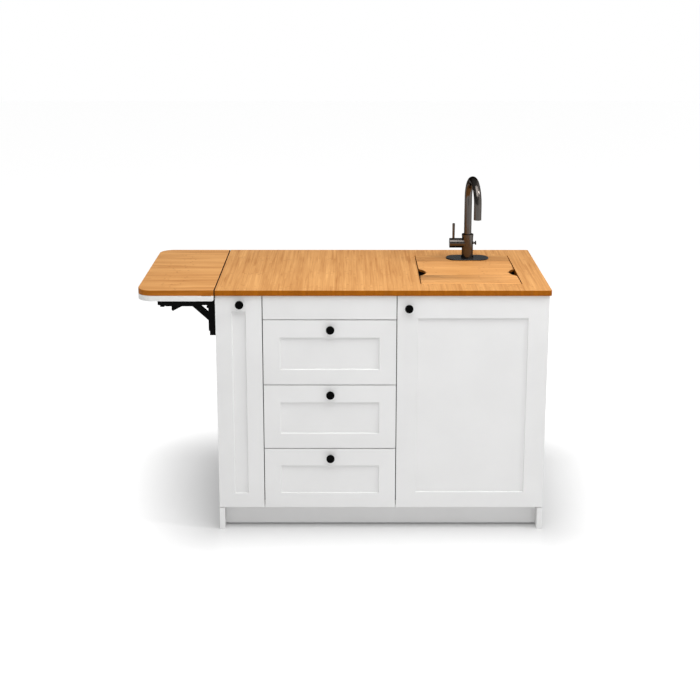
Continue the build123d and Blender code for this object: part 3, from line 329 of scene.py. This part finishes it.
def bamboo_material(name, grain_along_x, contrast, lightness, edge_colours, shaded_below=None):
    """Honey-coloured bamboo, glued from narrow strips whose grain runs along X or along Y. Contrast
    is how strong its streaks and its broad bands are. Below a given height its edge is painted black, as
    painted shade."""
    streak_share, band_share = contrast
    shader = Shader(name)
    parts = shader.add("ShaderNodeSeparateXYZ", {0: shader.place}).outputs
    along, across = (parts[0], parts[1]) if grain_along_x else (parts[1], parts[0])
    grain = shader.joined(across, along, parts[2])

    # Each strip is made of segments, which start at random places and have random tones.
    strip = shader.math("FLOOR", shader.math("DIVIDE", across, strip_width))
    strip_random = shader.random(shader.joined(strip, 3.0, 7.0))
    shifted = shader.math("ADD", shader.math("DIVIDE", along, strip_segment), strip_random)
    segment = shader.math("FLOOR", shifted)
    strip_tone = shader.random(shader.joined(strip, segment, 1.0))

    def layer(fineness, length_fineness, detail=3.0, roughness=0.6):
        """Noise drawn out along the grain."""
        stretch = (fineness, length_fineness, fineness)
        return shader.noise(shader.scaled(grain, stretch), detail=detail, roughness=roughness)

    fibres = layer(900.0, 8.0)
    streaks = layer(210.0, 3.2)
    bands = layer(42.0, 1.8)
    clouds = layer(7.0, 2.6, detail=2.0, roughness=0.5)
    figure = layer(95.0, 4.5, detail=2.0)
    dark_streak = shader.math("MULTIPLY", shader.fitted(figure, 0.58, 0.72), streak_share)
    pale_streak = shader.math("MULTIPLY", shader.fitted(figure, 0.42, 0.28), streak_share * 0.6)

    # Knuckles: short dark lines across a strip, at their own places in each strip
    knuckle_place = shader.math("ADD", shader.math("DIVIDE", along, knuckle_spacing), strip_tone)
    phase = shader.math("FRACT", knuckle_place)
    from_knuckle = shader.math("ABSOLUTE", shader.math("SUBTRACT", phase, 0.5))
    knuckle_line = shader.fitted(from_knuckle, 0.004, 0.022, 1.0, 0.0, smooth=True)
    has_knuckle = shader.fitted(strip_tone, 0.55, 0.6)
    knuckle = shader.math("MULTIPLY", knuckle_line, has_knuckle)

    # The tone runs from dark at 0 to light at 1.
    tone = shader.math("MULTIPLY", shader.math("SUBTRACT", strip_tone, 0.5), strip_spread)
    for noise, share in ((fibres, 0.9), (streaks, 1.2), (bands, band_share), (clouds, 0.7)):
        offset = shader.math("MULTIPLY", shader.math("SUBTRACT", noise, 0.5), share)
        tone = shader.math("ADD", tone, offset)
    tone = shader.math("ADD", tone, shader.math("SUBTRACT", pale_streak, dark_streak))
    tone = shader.fitted(shader.math("ADD", tone, 0.5), 0.0, 1.0)
    face_dark, face_light = [colour(*(part * lightness for part in shade)) for shade in face_colours]
    edge_dark, edge_light = [colour(*shade) for shade in edge_colours]
    face = shader.mixed(tone, face_dark, face_light)
    edge = shader.mixed(tone, edge_dark, edge_light)
    # Painted shade: the edge turns black below the given height.
    if shaded_below is not None:
        edge_shade = shader.fitted(parts[2], shaded_below - edge_shade_blend, shaded_below, 1.0, 0.0)
        edge = shader.mixed(edge_shade, edge, colour(*edge_shade_colour))
    flatness = shader.fitted(shader.math("ABSOLUTE", shader.upward), 0.55, 0.85)
    base = shader.mixed(flatness, edge, face)
    knuckle_share = shader.math("MULTIPLY", knuckle, knuckle_strength)
    shader.set(Base_Color=shader.mixed(knuckle_share, base, colour(*knuckle_colour)))
    shader.set(Roughness=shader.fitted(fibres, 0.3, 0.7, 0.42, 0.54), Specular_IOR_Level=0.09)
    shader.bump(fibres, 0.00015, 0.35)
    return shader.material


def paint_material(name, base, roughness, peel=1300.0):
    """Sprayed paint: a fine peel in the surface and a slight mottle in tone and gloss."""
    shader = Shader(name)
    cloud = shader.noise(shader.place, scale=7.0, detail=3.0)
    grain = shader.noise(shader.place, scale=peel, detail=2.0)
    darker, lighter = shades(base, paint_mottle)
    shader.set(Base_Color=shader.mixed(shader.fitted(cloud, 0.35, 0.65), darker, lighter))
    shader.set(Roughness=shader.fitted(grain, 0.3, 0.7, roughness - 0.04, roughness + 0.05))
    shader.bump(grain, 0.00008, 0.25)
    return shader.material


def powder_coat_material(name, base, roughness, specular):
    """Powder coat or satin lacquer on metal: a pebbled surface, a little worn bright at random."""
    shader = Shader(name)
    pebbles = shader.noise(shader.place, scale=1700.0, detail=2.0)
    cloud = shader.noise(shader.place, scale=60.0, detail=3.0)
    worn = colour(*(part * worn_brightness for part in base[:3]))
    shader.set(Base_Color=shader.mixed(shader.fitted(cloud, 0.5, 0.75), base, worn))
    shader.set(Roughness=shader.fitted(cloud, 0.3, 0.7, roughness - 0.05, roughness + 0.07))
    shader.set(Specular_IOR_Level=specular)
    shader.bump(pebbles, 0.0001, 0.3)
    return shader.material


def brushed_metal_material(name, base, roughness, stretch, wear=0.15, edge_tint=1.0):
    """Metal with fine brush lines. Stretch is how fine the lines are along each axis."""
    shader = Shader(name)
    lines = shader.noise(shader.scaled(shader.place, stretch), detail=3.0, roughness=0.6)
    cloud = shader.noise(shader.place, scale=25.0, detail=3.0)
    darker, lighter = shades(base, wear)
    tone = shader.math("ADD", shader.math("MULTIPLY", lines, 0.7), shader.math("MULTIPLY", cloud, 0.3))
    shader.set(Base_Color=shader.mixed(shader.fitted(tone, 0.3, 0.7), darker, lighter))
    shader.set(Metallic=1.0, Specular_Tint=grey(edge_tint))
    shader.set(Roughness=shader.fitted(lines, 0.25, 0.75, roughness - 0.06, roughness + 0.08))
    shader.bump(lines, 0.00004, 0.3)
    return shader.material


def zinc_material(name):
    """Zinc plating: a pale spangle of patches, slightly blue, with fine rolling lines."""
    shader = Shader(name)
    spangle = shader.add("ShaderNodeTexVoronoi", {"Vector": shader.place, "Scale": 320.0}).outputs["Color"]
    patches = shader.add("ShaderNodeSeparateColor", {0: spangle}).outputs[0]
    lines = shader.noise(shader.scaled(shader.place, (900.0, 20.0, 900.0)), detail=2.0)
    shader.set(Base_Color=shader.mixed(patches, colour(0.50, 0.51, 0.53), colour(0.62, 0.63, 0.65)))
    shader.set(Metallic=1.0, Roughness=shader.fitted(patches, 0.0, 1.0, 0.28, 0.42))
    shader.bump(lines, 0.00003, 0.3)
    return shader.material


def plywood_material(name, upright_boards=()):
    """Clear-lacquered birch plywood with fine figure along Y. Upright boards, given by the box round
    them, show their thin layers along their top edges."""
    shader = Shader(name)
    stretch = (120.0, 5.0, 120.0)
    finer_stretch = tuple(part * pore_fineness for part in stretch)
    figure = shader.noise(shader.scaled(shader.place, stretch), detail=4.0, roughness=0.6)
    pores = shader.noise(shader.scaled(shader.place, finer_stretch), detail=2.0)
    tone = shader.math("ADD", shader.math("MULTIPLY", figure, 0.75), shader.math("MULTIPLY", pores, 0.25))
    base = shader.mixed(shader.fitted(tone, 0.3, 0.7), colour(0.55, 0.37, 0.20), colour(0.74, 0.56, 0.36))
    if upright_boards:
        low, high = upright_boards
        parts = shader.add("ShaderNodeSeparateXYZ", {0: shader.place}).outputs
        inner = shader.math("ABSOLUTE", shader.math("SUBTRACT", parts[0], (low.x + high.x) / 2))
        in_side = shader.math("GREATER_THAN", inner, (high.x - low.x) / 2 - box_board)
        along_y = shader.joined(parts[1], 0.0, 0.0)
        along_x = shader.joined(parts[0], 0.0, 0.0)
        through = shader.mixed(in_side, along_y, along_x)
        depth = shader.add("ShaderNodeSeparateXYZ", {0: through}).outputs[0]
        phase = shader.math("FRACT", shader.math("DIVIDE", depth, ply_layer * 2))
        from_middle = shader.math("ABSOLUTE", shader.math("SUBTRACT", phase, 0.5))
        dark_layer = shader.fitted(from_middle, 0.22, 0.28)
        top_edge = shader.fitted(shader.upward, 0.8, 0.95)
        visible = shader.math("MULTIPLY", dark_layer, top_edge)
        share = shader.math("MULTIPLY", visible, shader.fitted(pores, 0.2, 0.6))
        base = shader.mixed(share, base, colour(0.33, 0.19, 0.09))
    shader.set(Base_Color=base)
    shader.set(Roughness=shader.fitted(pores, 0.3, 0.7, 0.38, 0.5))
    shader.bump(pores, 0.0001, 0.3)
    return shader.material


def rubber_material(name):
    """Matt black sealing rubber with a fine grain."""
    shader = Shader(name)
    grain = shader.noise(shader.place, scale=2200.0, detail=2.0)
    shader.set(Base_Color=shader.mixed(grain, grey(0.004), grey(0.012)))
    shader.set(Roughness=0.75, Specular_IOR_Level=0.12)
    shader.bump(grain, 0.0001, 0.4)
    return shader.material


# The height below which the lid's edge is painted black, as painted shade.
lid_shade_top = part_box("sink_lid")[1].z - lid_unshaded_depth
materials = {
    "worktop_wood": bamboo_material(
        "worktop_wood", grain_along_x=False, contrast=(0.3, 0.7), lightness=1.0,
        edge_colours=worktop_edge_colours,
    ),
    "flap_wood": bamboo_material(
        "flap_wood", grain_along_x=True, contrast=(0.45, 1.5), lightness=1.04,
        edge_colours=flap_edge_colours,
    ),
    # The lid's faces are lighter than the worktop's, partly as its own board and partly as painted light
    # falling from the right.
    "lid_wood": bamboo_material(
        "lid_wood", grain_along_x=True, contrast=(0.2, 0.8), lightness=1.13,
        edge_colours=lid_edge_colours, shaded_below=lid_shade_top,
    ),
    # The ledge's faces are darker, partly as its own board and partly as the tap's shadow painted on.
    "ledge_wood_shaded": bamboo_material(
        "ledge_wood_shaded", grain_along_x=True, contrast=(0.3, 0.9), lightness=0.86,
        edge_colours=flap_edge_colours,
    ),
    "white_paint": paint_material("white_paint", colour(0.79, 0.788, 0.785), roughness=0.42),
    # The plinth's paint is darker than the fronts', a painted shade under the fronts' overhang.
    "plinth_shaded_paint": paint_material("plinth_shaded_paint", colour(0.735, 0.733, 0.73), roughness=0.5),
    "white_board": paint_material("white_board", colour(0.70, 0.70, 0.69), roughness=0.5, peel=700.0),
    "plywood_y": plywood_material("plywood_y"),
    "box_plywood": plywood_material("box_plywood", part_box("drawer_1_box")),
    "rubber": rubber_material("rubber"),
    "sink_steel": brushed_metal_material(
        "sink_steel", colour(0.56, 0.56, 0.55), roughness=0.3, stretch=brushed_along_x
    ),
    "gunmetal": brushed_metal_material(
        "gunmetal", colour(0.105, 0.094, 0.086), roughness=0.17, stretch=brushed_along_z,
        wear=0.2, edge_tint=0.25,
    ),
    "slate_metal": powder_coat_material(
        "slate_metal", colour(0.0045, 0.0052, 0.006), roughness=0.24, specular=0.35
    ),
    "zinc_steel": zinc_material("zinc_steel"),
    "black_steel": powder_coat_material("black_steel", grey(0.0014), roughness=0.45, specular=0.05),
    "black_knob": powder_coat_material("black_knob", grey(0.0008), roughness=0.4, specular=0.03),
}

# The materials of slots that have no material of their own name
slot_materials = {
    "bamboo": "flap_wood",
    "plywood": "plywood_y",
}


def dress(node, material):
    """Give a CAD node one material in place of its own."""
    mesh = cad_nodes[node].data
    mesh.materials.clear()
    mesh.materials.append(material)


node_slots = {subpart["node"]: subpart["material_slot"] for subpart in frame["record"]["subparts"]}
for node_name, slot_name in node_slots.items():
    dress(node_name, materials[slot_materials.get(slot_name, slot_name)])
dress("worktop", materials["worktop_wood"])
dress("sink_lid", materials["lid_wood"])
dress("tap_ledge", materials["ledge_wood_shaded"])
# The plinth takes the darker paint, a painted shade.
dress("plinth", materials["plinth_shaded_paint"])
for box_node in ("drawer_1_box", "drawer_2_box", "drawer_3_box"):
    dress(box_node, materials["box_plywood"])


# Pieces that stand for the CAD's boards and metalwork with eased edges


def add_bevel(piece, width):
    """Round off a piece's sharp edges."""
    bevel = piece.modifiers.new("eased_edges", "BEVEL")
    bevel.width = width
    bevel.segments = bevel_segments
    bevel.limit_method = "ANGLE"
    bevel.angle_limit = math.radians(sharp_angle_degrees)
    bevel.use_clamp_overlap = False
    bevel.harden_normals = True


def eased(node, width):
    """A copy of a CAD node whose sharp edges are rounded off by a small width."""
    source = cad_nodes[node].data
    work = bmesh.new()
    work.from_mesh(source)
    bmesh.ops.remove_doubles(work, verts=work.verts, dist=weld_distance)
    flat = math.radians(flat_angle_degrees)
    bmesh.ops.dissolve_limit(work, angle_limit=flat, verts=work.verts, edges=work.edges)
    work.verts.index_update()
    points = [vertex.co.copy() for vertex in work.verts]
    faces = [[vertex.index for vertex in face.verts] for face in work.faces]
    work.free()
    mesh = bpy.data.meshes.new(node + "_eased")
    mesh.from_pydata(points, [], faces)
    mesh.shade_smooth()
    mesh.set_sharp_from_angle(angle=math.radians(sharp_angle_degrees))
    mesh.materials.append(source.materials[0])
    piece = bpy.data.objects.new(node + "_eased", mesh)
    bpy.context.scene.collection.objects.link(piece)
    add_bevel(piece, width)
    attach(piece, cad_nodes[node]["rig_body"])
    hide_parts(node)


for board_node in (
    "left_side_panel", "right_side_panel", "pullout_partition", "sink_partition", "base_panel",
    "back_panel", "plinth", "front_rails", "rear_rails",
):
    eased(board_node, board_ease)
for front_node in (
    "door", "drawer_1_front", "drawer_2_front", "drawer_3_front", "pullout_front", "fixed_front_panel",
):
    eased(front_node, front_ease)
for wood_node in ("sink_lid", "tap_ledge", "flap_top", "worktop"):
    eased(wood_node, wood_ease)
for ply_node in (
    "drawer_1_bottom", "drawer_2_bottom", "drawer_3_bottom", "pullout_trays", "pullout_uprights",
    "flap_underboard",
):
    eased(ply_node, board_ease)
for metal_node in ("bracket_arms", "bracket_struts", "release_triggers", "wall_plates", "floor_brackets"):
    eased(metal_node, metal_ease)


# Built pieces: hardware that the CAD holds as plain blocks, and thin trim


def make_piece(name, work, body, material, stands_for=(), ease=0.0):
    """Turn a finished bmesh into a piece that rides on a body."""
    bmesh.ops.remove_doubles(work, verts=work.verts, dist=weld_distance)
    bmesh.ops.recalc_face_normals(work, faces=work.faces)
    mesh = bpy.data.meshes.new(name)
    work.to_mesh(mesh)
    work.free()
    mesh.shade_smooth()
    mesh.set_sharp_from_angle(angle=math.radians(sharp_angle_degrees))
    mesh.materials.append(material)
    piece = bpy.data.objects.new(name, mesh)
    bpy.context.scene.collection.objects.link(piece)
    if ease:
        add_bevel(piece, ease)
    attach(piece, body)
    if stands_for:
        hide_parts(*stands_for)


def prism(work, outline, along):
    """A solid whose flat outline, a list of points in space, is drawn out along a vector."""
    near = [work.verts.new(point) for point in outline]
    far = [work.verts.new(Vector(point) + Vector(along)) for point in outline]
    work.faces.new(near)
    work.faces.new(list(reversed(far)))
    for i, corner in enumerate(near):
        after = (i + 1) % len(near)
        work.faces.new((corner, far[i], far[after], near[after]))


def turned(work, place, axis, rings):
    """A closed shape of rings about an axis. A ring is a distance along the axis and a radius,
    which is a number or a function of the angle."""
    axis = Vector(axis).normalized()
    side = axis.orthogonal().normalized()
    other = axis.cross(side)
    loops = []
    for distance, radius in rings:
        loop = []
        for i in range(screw_sides):
            angle = 2 * math.pi * i / screw_sides
            reach = radius(angle) if callable(radius) else radius
            spot = Vector(place) + axis * distance
            spot += (side * math.cos(angle) + other * math.sin(angle)) * reach
            loop.append(work.verts.new(spot))
        loops.append(loop)
    for lower, upper in zip(loops, loops[1:]):
        for i in range(screw_sides):
            after = (i + 1) % screw_sides
            work.faces.new((lower[i], lower[after], upper[after], upper[i]))
    work.faces.new(list(reversed(loops[0])))
    work.faces.new(loops[-1])


def cross_recess(angle):
    """The outline of a screw's cross recess, as a radius at each angle."""
    across = max(abs(math.cos(angle)), least_share)
    up = max(abs(math.sin(angle)), least_share)
    one_arm = min(cross_arm / across, cross_half_width / up)
    other_arm = min(cross_arm / up, cross_half_width / across)
    return max(one_arm, other_arm)


def loose_parts(node):
    """The lowest and highest corners of each separate solid in a CAD node."""
    work = bmesh.new()
    work.from_mesh(cad_nodes[node].data)
    bmesh.ops.remove_doubles(work, verts=work.verts, dist=weld_distance)
    seen = set()
    found = []
    for start in work.verts:
        if start in seen:
            continue
        seen.add(start)
        waiting = [start]
        group = []
        while waiting:
            vertex = waiting.pop()
            group.append(vertex.co.copy())
            for edge in vertex.link_edges:
                neighbour = edge.other_vert(vertex)
                if neighbour not in seen:
                    seen.add(neighbour)
                    waiting.append(neighbour)
        low = Vector(tuple(min(point[i] for point in group) for i in range(3)))
        high = Vector(tuple(max(point[i] for point in group) for i in range(3)))
        found.append((low, high))
    work.free()
    return found


def low_head(work, place, axis, profile, recess=low_head_recess):
    """A low screw head with a cross recess, on a surface that faces along an axis."""
    top = profile[-1][0]
    rings = list(profile) + [(top, cross_recess), (top - recess, cross_recess)]
    turned(work, place, axis, rings)


def screws(node, inward, material):
    """Pan-head screws in place of a node's plain ones. Inward gives a screw's driving direction."""
    work = bmesh.new()
    for low, high in loose_parts(node):
        way = Vector(inward(low, high))
        centre = (low + high) / 2
        half = (high - low) / 2
        length = 2 * abs(half.dot(way))
        head = centre - way * length / 2
        radius = sorted(half)[1] * pan_head_fit
        rings = [(pan_head_depth * pan_head_recess_share, cross_recess), (0.0, cross_recess)]
        rings += [(pan_head_depth * down, radius * out) for down, out in pan_head_shares]
        rings += [(pan_head_depth, shank_radius), (length - shank_radius * 2, shank_radius)]
        rings += [(length, screw_point_radius)]
        turned(work, head, way, rings)
    body = cad_nodes[node]["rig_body"]
    make_piece(node + "_cross", work, body, material, [node])


def flap_screw_way(low, high):
    """The flap's screws drive up into it."""
    return (0, 0, 1)


def cabinet_screw_way(low, high):
    """Floor screws drive outwards into the side panels and the plates' screws drive to the right."""
    centre = (low.x + high.x) / 2
    if low.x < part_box("left_side_panel")[0].x:
        return (1, 0, 0)
    return (math.copysign(1.0, centre), 0, 0)


screws("flap_screws", flap_screw_way, materials["black_steel"])
screws("cabinet_screws", cabinet_screw_way, materials["zinc_steel"])


def outward_side(node, low, high):
    """Which way a slide opens: away from the box or tray that it is screwed to."""
    carrier = "pullout_uprights" if node.startswith("pullout") else node.replace("runners", "box")
    middle = (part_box(carrier)[0].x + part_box(carrier)[1].x) / 2
    return 1 if (low.x + high.x) / 2 > middle else -1


def slide_profile(depth, height):
    """A channel with its lips turned in, as distances out from its back and up from its foot."""
    inner = depth - slide_sheet
    lower_half = [(0, 0), (depth, 0), (depth, slide_lip), (inner, slide_lip), (inner, slide_sheet)]
    lower_half.append((slide_sheet, slide_sheet))
    upper_half = [(out, height - up) for out, up in reversed(lower_half)]
    return lower_half + upper_half


def make_slides(node):
    """Ball-bearing slide members in place of a node's plain bars."""
    steel = bmesh.new()
    balls = bmesh.new()
    body = cad_nodes[node]["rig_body"]
    for low, high in loose_parts(node):
        outwards = outward_side(node, low, high)
        inner = low.x if outwards > 0 else high.x
        depth = high.x - low.x
        profile = slide_profile(depth, high.z - low.z)
        outline = [(inner + outwards * out, low.y, low.z + up) for out, up in profile]
        prism(steel, outline, (0, high.y - low.y, 0))
        ball_x = inner + outwards * (depth - slide_sheet - ball_radius)
        place = low.y + ball_spacing
        while place < high.y - ball_spacing:
            for up in (low.z + slide_sheet + ball_radius, high.z - slide_sheet - ball_radius):
                centre = Matrix.Translation((ball_x, place, up))
                bmesh.ops.create_icosphere(
                    balls, subdivisions=ball_subdivisions, radius=ball_radius, matrix=centre
                )
            place += ball_spacing
        for share in slide_screw_shares:
            along = low.y + (high.y - low.y) * share
            spot = (inner + outwards * slide_sheet, along, (low.z + high.z) / 2)
            low_head(steel, spot, (outwards, 0, 0), slide_head)
    make_piece(
        node + "_slides", steel, body, materials["zinc_steel"], [node], metal_ease
    )
    make_piece(node + "_balls", balls, body, materials["sink_steel"])


for slide_node in ("drawer_1_runners", "drawer_2_runners", "drawer_3_runners", "pullout_runners"):
    make_slides(slide_node)


def make_hinge_arms():
    """Cabinet halves of the door's concealed hinges: a plate with cut corners and a capped arm."""
    work = bmesh.new()
    for low, high in loose_parts("hinge_arms"):
        wall = high.x
        front = low.y
        back = high.y
        middle = (low.z + high.z) / 2

        plate = [(wall, back - along, middle + up) for up, along in hinge_plate_outline]
        prism(work, plate, (-hinge_plate_sheet, 0, 0))
        foot = middle - hinge_arm_height / 2
        arm = [(wall - out, front + along, foot) for out, along in hinge_arm_outline]
        prism(work, arm, (0, 0, hinge_arm_height))
        foot = middle - hinge_cap_height / 2
        cap_start = front + hinge_cap_start
        cap = [(wall - out, cap_start + along, foot) for out, along in hinge_cap_outline]
        prism(work, cap, (0, 0, hinge_cap_height))

        for up in (-plate_screw_rise, plate_screw_rise):
            spot = (wall - hinge_plate_sheet, back - plate_screw_setback, middle + up)
            low_head(work, spot, (-1, 0, 0), plate_head)
        spot = (wall - arm_screw_out, front + arm_screw_setback, middle)
        low_head(work, spot, (-1, 0, 0), arm_head, arm_head_recess)
    make_piece(
        "hinge_arms_folded", work, "cabinet", materials["zinc_steel"], ["hinge_arms"],
        hinge_ease,
    )


make_hinge_arms()


def make_flap_seam_shade():
    """A thin black strip on the flap's inner end, painted shade that darkens the seam to the worktop."""
    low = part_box("flap_underboard")[0]
    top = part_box("flap_top")[1]
    work = bmesh.new()
    rise = top.z - low.z
    front = low.y + seam_strip_end_gap
    outline = [(top.x + seam_strip_thickness * out, front, low.z + rise * up) for out, up in seam_strip_profile]
    prism(work, outline, (0, top.y - low.y - 2 * seam_strip_end_gap, 0))
    make_piece("flap_seam_shade", work, "flap", materials["rubber"])


make_flap_seam_shade()


def make_flap_slit_strip():
    """A thin black strip between the flap's top and its under-board, at its front inner corner, which draws
    a dark slit there.
    """
    low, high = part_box("flap_top")
    right = high.x - slit_strip_end_gap
    left = right - slit_strip_length
    front = low.y - slit_strip_proud
    bottom = low.z - slit_strip_sheet / 2
    top = low.z + slit_strip_sheet / 2
    work = bmesh.new()
    outline = [(left, front, bottom), (right, front, bottom), (right, front, top), (left, front, top)]
    prism(work, outline, (0, slit_strip_depth, 0))
    make_piece("flap_slit_strip", work, "flap", materials["black_steel"])


make_flap_slit_strip()


def make_partition_seam_shades():
    """Black strips on the partitions' front edges, painted shade that darkens the seams between the fronts.
    """
    work = bmesh.new()
    for node in ("pullout_partition", "sink_partition"):
        low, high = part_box(node)
        left = low.x + partition_shade_inset
        right = high.x - partition_shade_inset
        face = low.y - partition_shade_thickness
        bottom = low.z + partition_shade_inset
        outline = [
            (left, low.y, bottom),
            (left + partition_shade_slope, face, bottom),
            (right - partition_shade_slope, face, bottom),
            (right, low.y, bottom),
        ]
        prism(work, outline, (0, 0, high.z - low.z - 2 * partition_shade_inset))
    make_piece("partition_seam_shades", work, "cabinet", materials["rubber"])


make_partition_seam_shades()


def make_plate_ears():
    """Rounded ears that the wall plates' two cheeks reach out under the arm, just below its hinge."""
    work = bmesh.new()
    for low, high in loose_parts("wall_plates"):
        root = low.x + ear_root
        top = high.z - ear_drop
        for near in (low.y, high.y - ear_sheet):
            outline = [(root - ear_reach * out, near, top - ear_height * down) for out, down in ear_profile]
            prism(work, outline, (0, ear_sheet, 0))
    make_piece("plate_ears", work, "cabinet", materials["black_steel"], ease=metal_ease)


make_plate_ears()


def make_slot_covers():
    """Thin covers outside the arms' cheeks, over the slots that the struts' pins slide in."""
    work = bmesh.new()
    for low, high in loose_parts("bracket_arms"):
        right = high.x - cover_start
        left = right - cover_length
        bottom = high.z - cover_drop
        for near in (low.y - cover_sheet, high.y):
            outline = [
                (right, near, bottom),
                (left, near, bottom),
                (left - cover_slope, near, bottom + cover_slope),
                (left - cover_slope, near, bottom + cover_height),
                (right + cover_slope, near, bottom + cover_height),
                (right + cover_slope, near, bottom + cover_slope),
            ]
            prism(work, outline, (0, cover_sheet, 0))
    make_piece("bracket_slot_covers", work, "flap", materials["black_steel"])


make_slot_covers()


# Stage, lights and camera


def make_floor():
    """A pale floor that shows white where nothing shades it, and glows less beside the carcass as a painted
    shade.
    """
    mesh = bpy.data.meshes.new("floor")
    reach = floor_half_size
    corners = [(-reach, -reach, 0), (reach, -reach, 0), (reach, reach, 0), (-reach, reach, 0)]
    mesh.from_pydata(corners, [], [(0, 1, 2, 3)])
    floor = bpy.data.objects.new("floor", mesh)
    floor.location.z = cad_box[0].z - floor_drop
    bpy.context.scene.collection.objects.link(floor)
    shader = Shader("floor")
    rays = shader.add("ShaderNodeLightPath").outputs
    seen = shader.math("MAXIMUM", rays["Is Camera Ray"], rays["Is Glossy Ray"])
    seen = shader.math("MAXIMUM", seen, rays["Is Transmission Ray"])
    parts = shader.add("ShaderNodeSeparateXYZ", {0: shader.place}).outputs
    beyond = []
    for part, low, high in zip(parts[:2], carcass_low, carcass_high):
        inner = shader.math("SUBTRACT", part, (low + high) / 2)
        past = shader.math("SUBTRACT", shader.math("ABSOLUTE", inner), (high - low) / 2)
        beyond.append(shader.math("MAXIMUM", past, 0.0))
    squares = [shader.math("POWER", part, 2.0) for part in beyond]
    away = shader.math("SQRT", shader.math("ADD", squares[0], squares[1]))
    glow = shader.fitted(away, 0.0, shade_reach, glow_near, glow_far)
    shader.set(Base_Color=shader.mixed(seen, grey(floor_lit_tone), grey(floor_seen_tone)))
    shader.set(Roughness=0.3, Specular_IOR_Level=0.3)
    shader.set(Emission_Color=grey(1.0))
    shader.set(Emission_Strength=shader.math("MULTIPLY", seen, glow))
    mesh.materials.append(shader.material)


def make_world():
    """White where the camera sees it, a dim studio with one bright side where metal mirrors it, and
    a plain light elsewhere."""
    world = bpy.data.worlds.new("world")
    bpy.context.scene.world = world
    world.use_nodes = True
    nodes = world.node_tree.nodes
    links = world.node_tree.links
    background = nodes["Background"]
    background.inputs["Color"].default_value = grey(1.0)
    rays = nodes.new("ShaderNodeLightPath")
    seen = nodes.new("ShaderNodeMath")
    seen.operation = "MAXIMUM"
    links.new(rays.outputs["Is Camera Ray"], seen.inputs[0])
    links.new(rays.outputs["Is Glossy Ray"], seen.inputs[1])
    through = nodes.new("ShaderNodeMath")
    through.operation = "MAXIMUM"
    links.new(seen.outputs[0], through.inputs[0])
    links.new(rays.outputs["Is Transmission Ray"], through.inputs[1])
    way = nodes.new("ShaderNodeTexCoord")
    parts = nodes.new("ShaderNodeSeparateXYZ")
    links.new(way.outputs["Generated"], parts.inputs[0])
    right = nodes.new("ShaderNodeMapRange")
    right.interpolation_type = "SMOOTHSTEP"
    for key, value in zip(("From Min", "From Max", "To Min", "To Max"), studio_side_light):
        right.inputs[key].default_value = value
    links.new(parts.outputs["X"], right.inputs["Value"])
    mirrored = nodes.new("ShaderNodeMix")
    links.new(rays.outputs["Is Glossy Ray"], mirrored.inputs[0])
    mirrored.inputs[2].default_value = 1.0
    links.new(right.outputs[0], mirrored.inputs[3])
    strength = nodes.new("ShaderNodeMix")
    links.new(through.outputs[0], strength.inputs[0])
    strength.inputs[2].default_value = world_light
    links.new(mirrored.outputs[0], strength.inputs[3])
    links.new(strength.outputs[0], background.inputs["Strength"])


def make_softbox(name, place, target, width, height, watts):
    """A rectangular lamp that faces a target."""
    lamp = bpy.data.lights.new(name, "AREA")
    lamp.shape = "RECTANGLE"
    lamp.size = width
    lamp.size_y = height
    lamp.energy = watts
    softbox = bpy.data.objects.new(name, lamp)
    softbox.location = place
    softbox.rotation_euler = (Vector(target) - Vector(place)).to_track_quat("-Z", "Y").to_euler()
    bpy.context.scene.collection.objects.link(softbox)


def make_camera():
    """The photograph's camera: a level aim turned by yaw, pitch and roll, with the lens shifted."""
    data = bpy.data.cameras.new("camera")
    data.sensor_width = sensor_width_mm
    data.lens = focal_length_pixels / frame_pixels * sensor_width_mm
    data.shift_y = (principal_row - frame_pixels / 2) / frame_pixels
    data.clip_end = camera_reach
    camera = bpy.data.objects.new("camera", data)
    level = Matrix.Rotation(math.radians(90.0 - camera_pitch_degrees), 4, "X")
    yaw = Matrix.Rotation(math.radians(-camera_yaw_degrees), 4, "Z")
    roll = Matrix.Rotation(math.radians(camera_roll_degrees), 4, "Z")
    camera.matrix_world = Matrix.Translation(camera_place) @ yaw @ level @ roll
    bpy.context.scene.collection.objects.link(camera)
    bpy.context.scene.camera = camera


make_floor()
make_world()
make_softbox(
    "key_light", place=(2.3, -1.0, 3.2), target=cabinet_middle, width=0.5, height=0.5, watts=32.0
)
make_softbox(
    "top_light", place=(0.1, -1.1, 3.0), target=cabinet_middle, width=2.2, height=2.0, watts=46.0
)
make_softbox(
    "front_fill", place=(1.4, -4.6, 1.6), target=(0.0, 0.0, 0.45), width=3.0, height=2.0, watts=5.0
)
make_camera()
bpy.context.scene.view_settings.view_transform = "Standard"
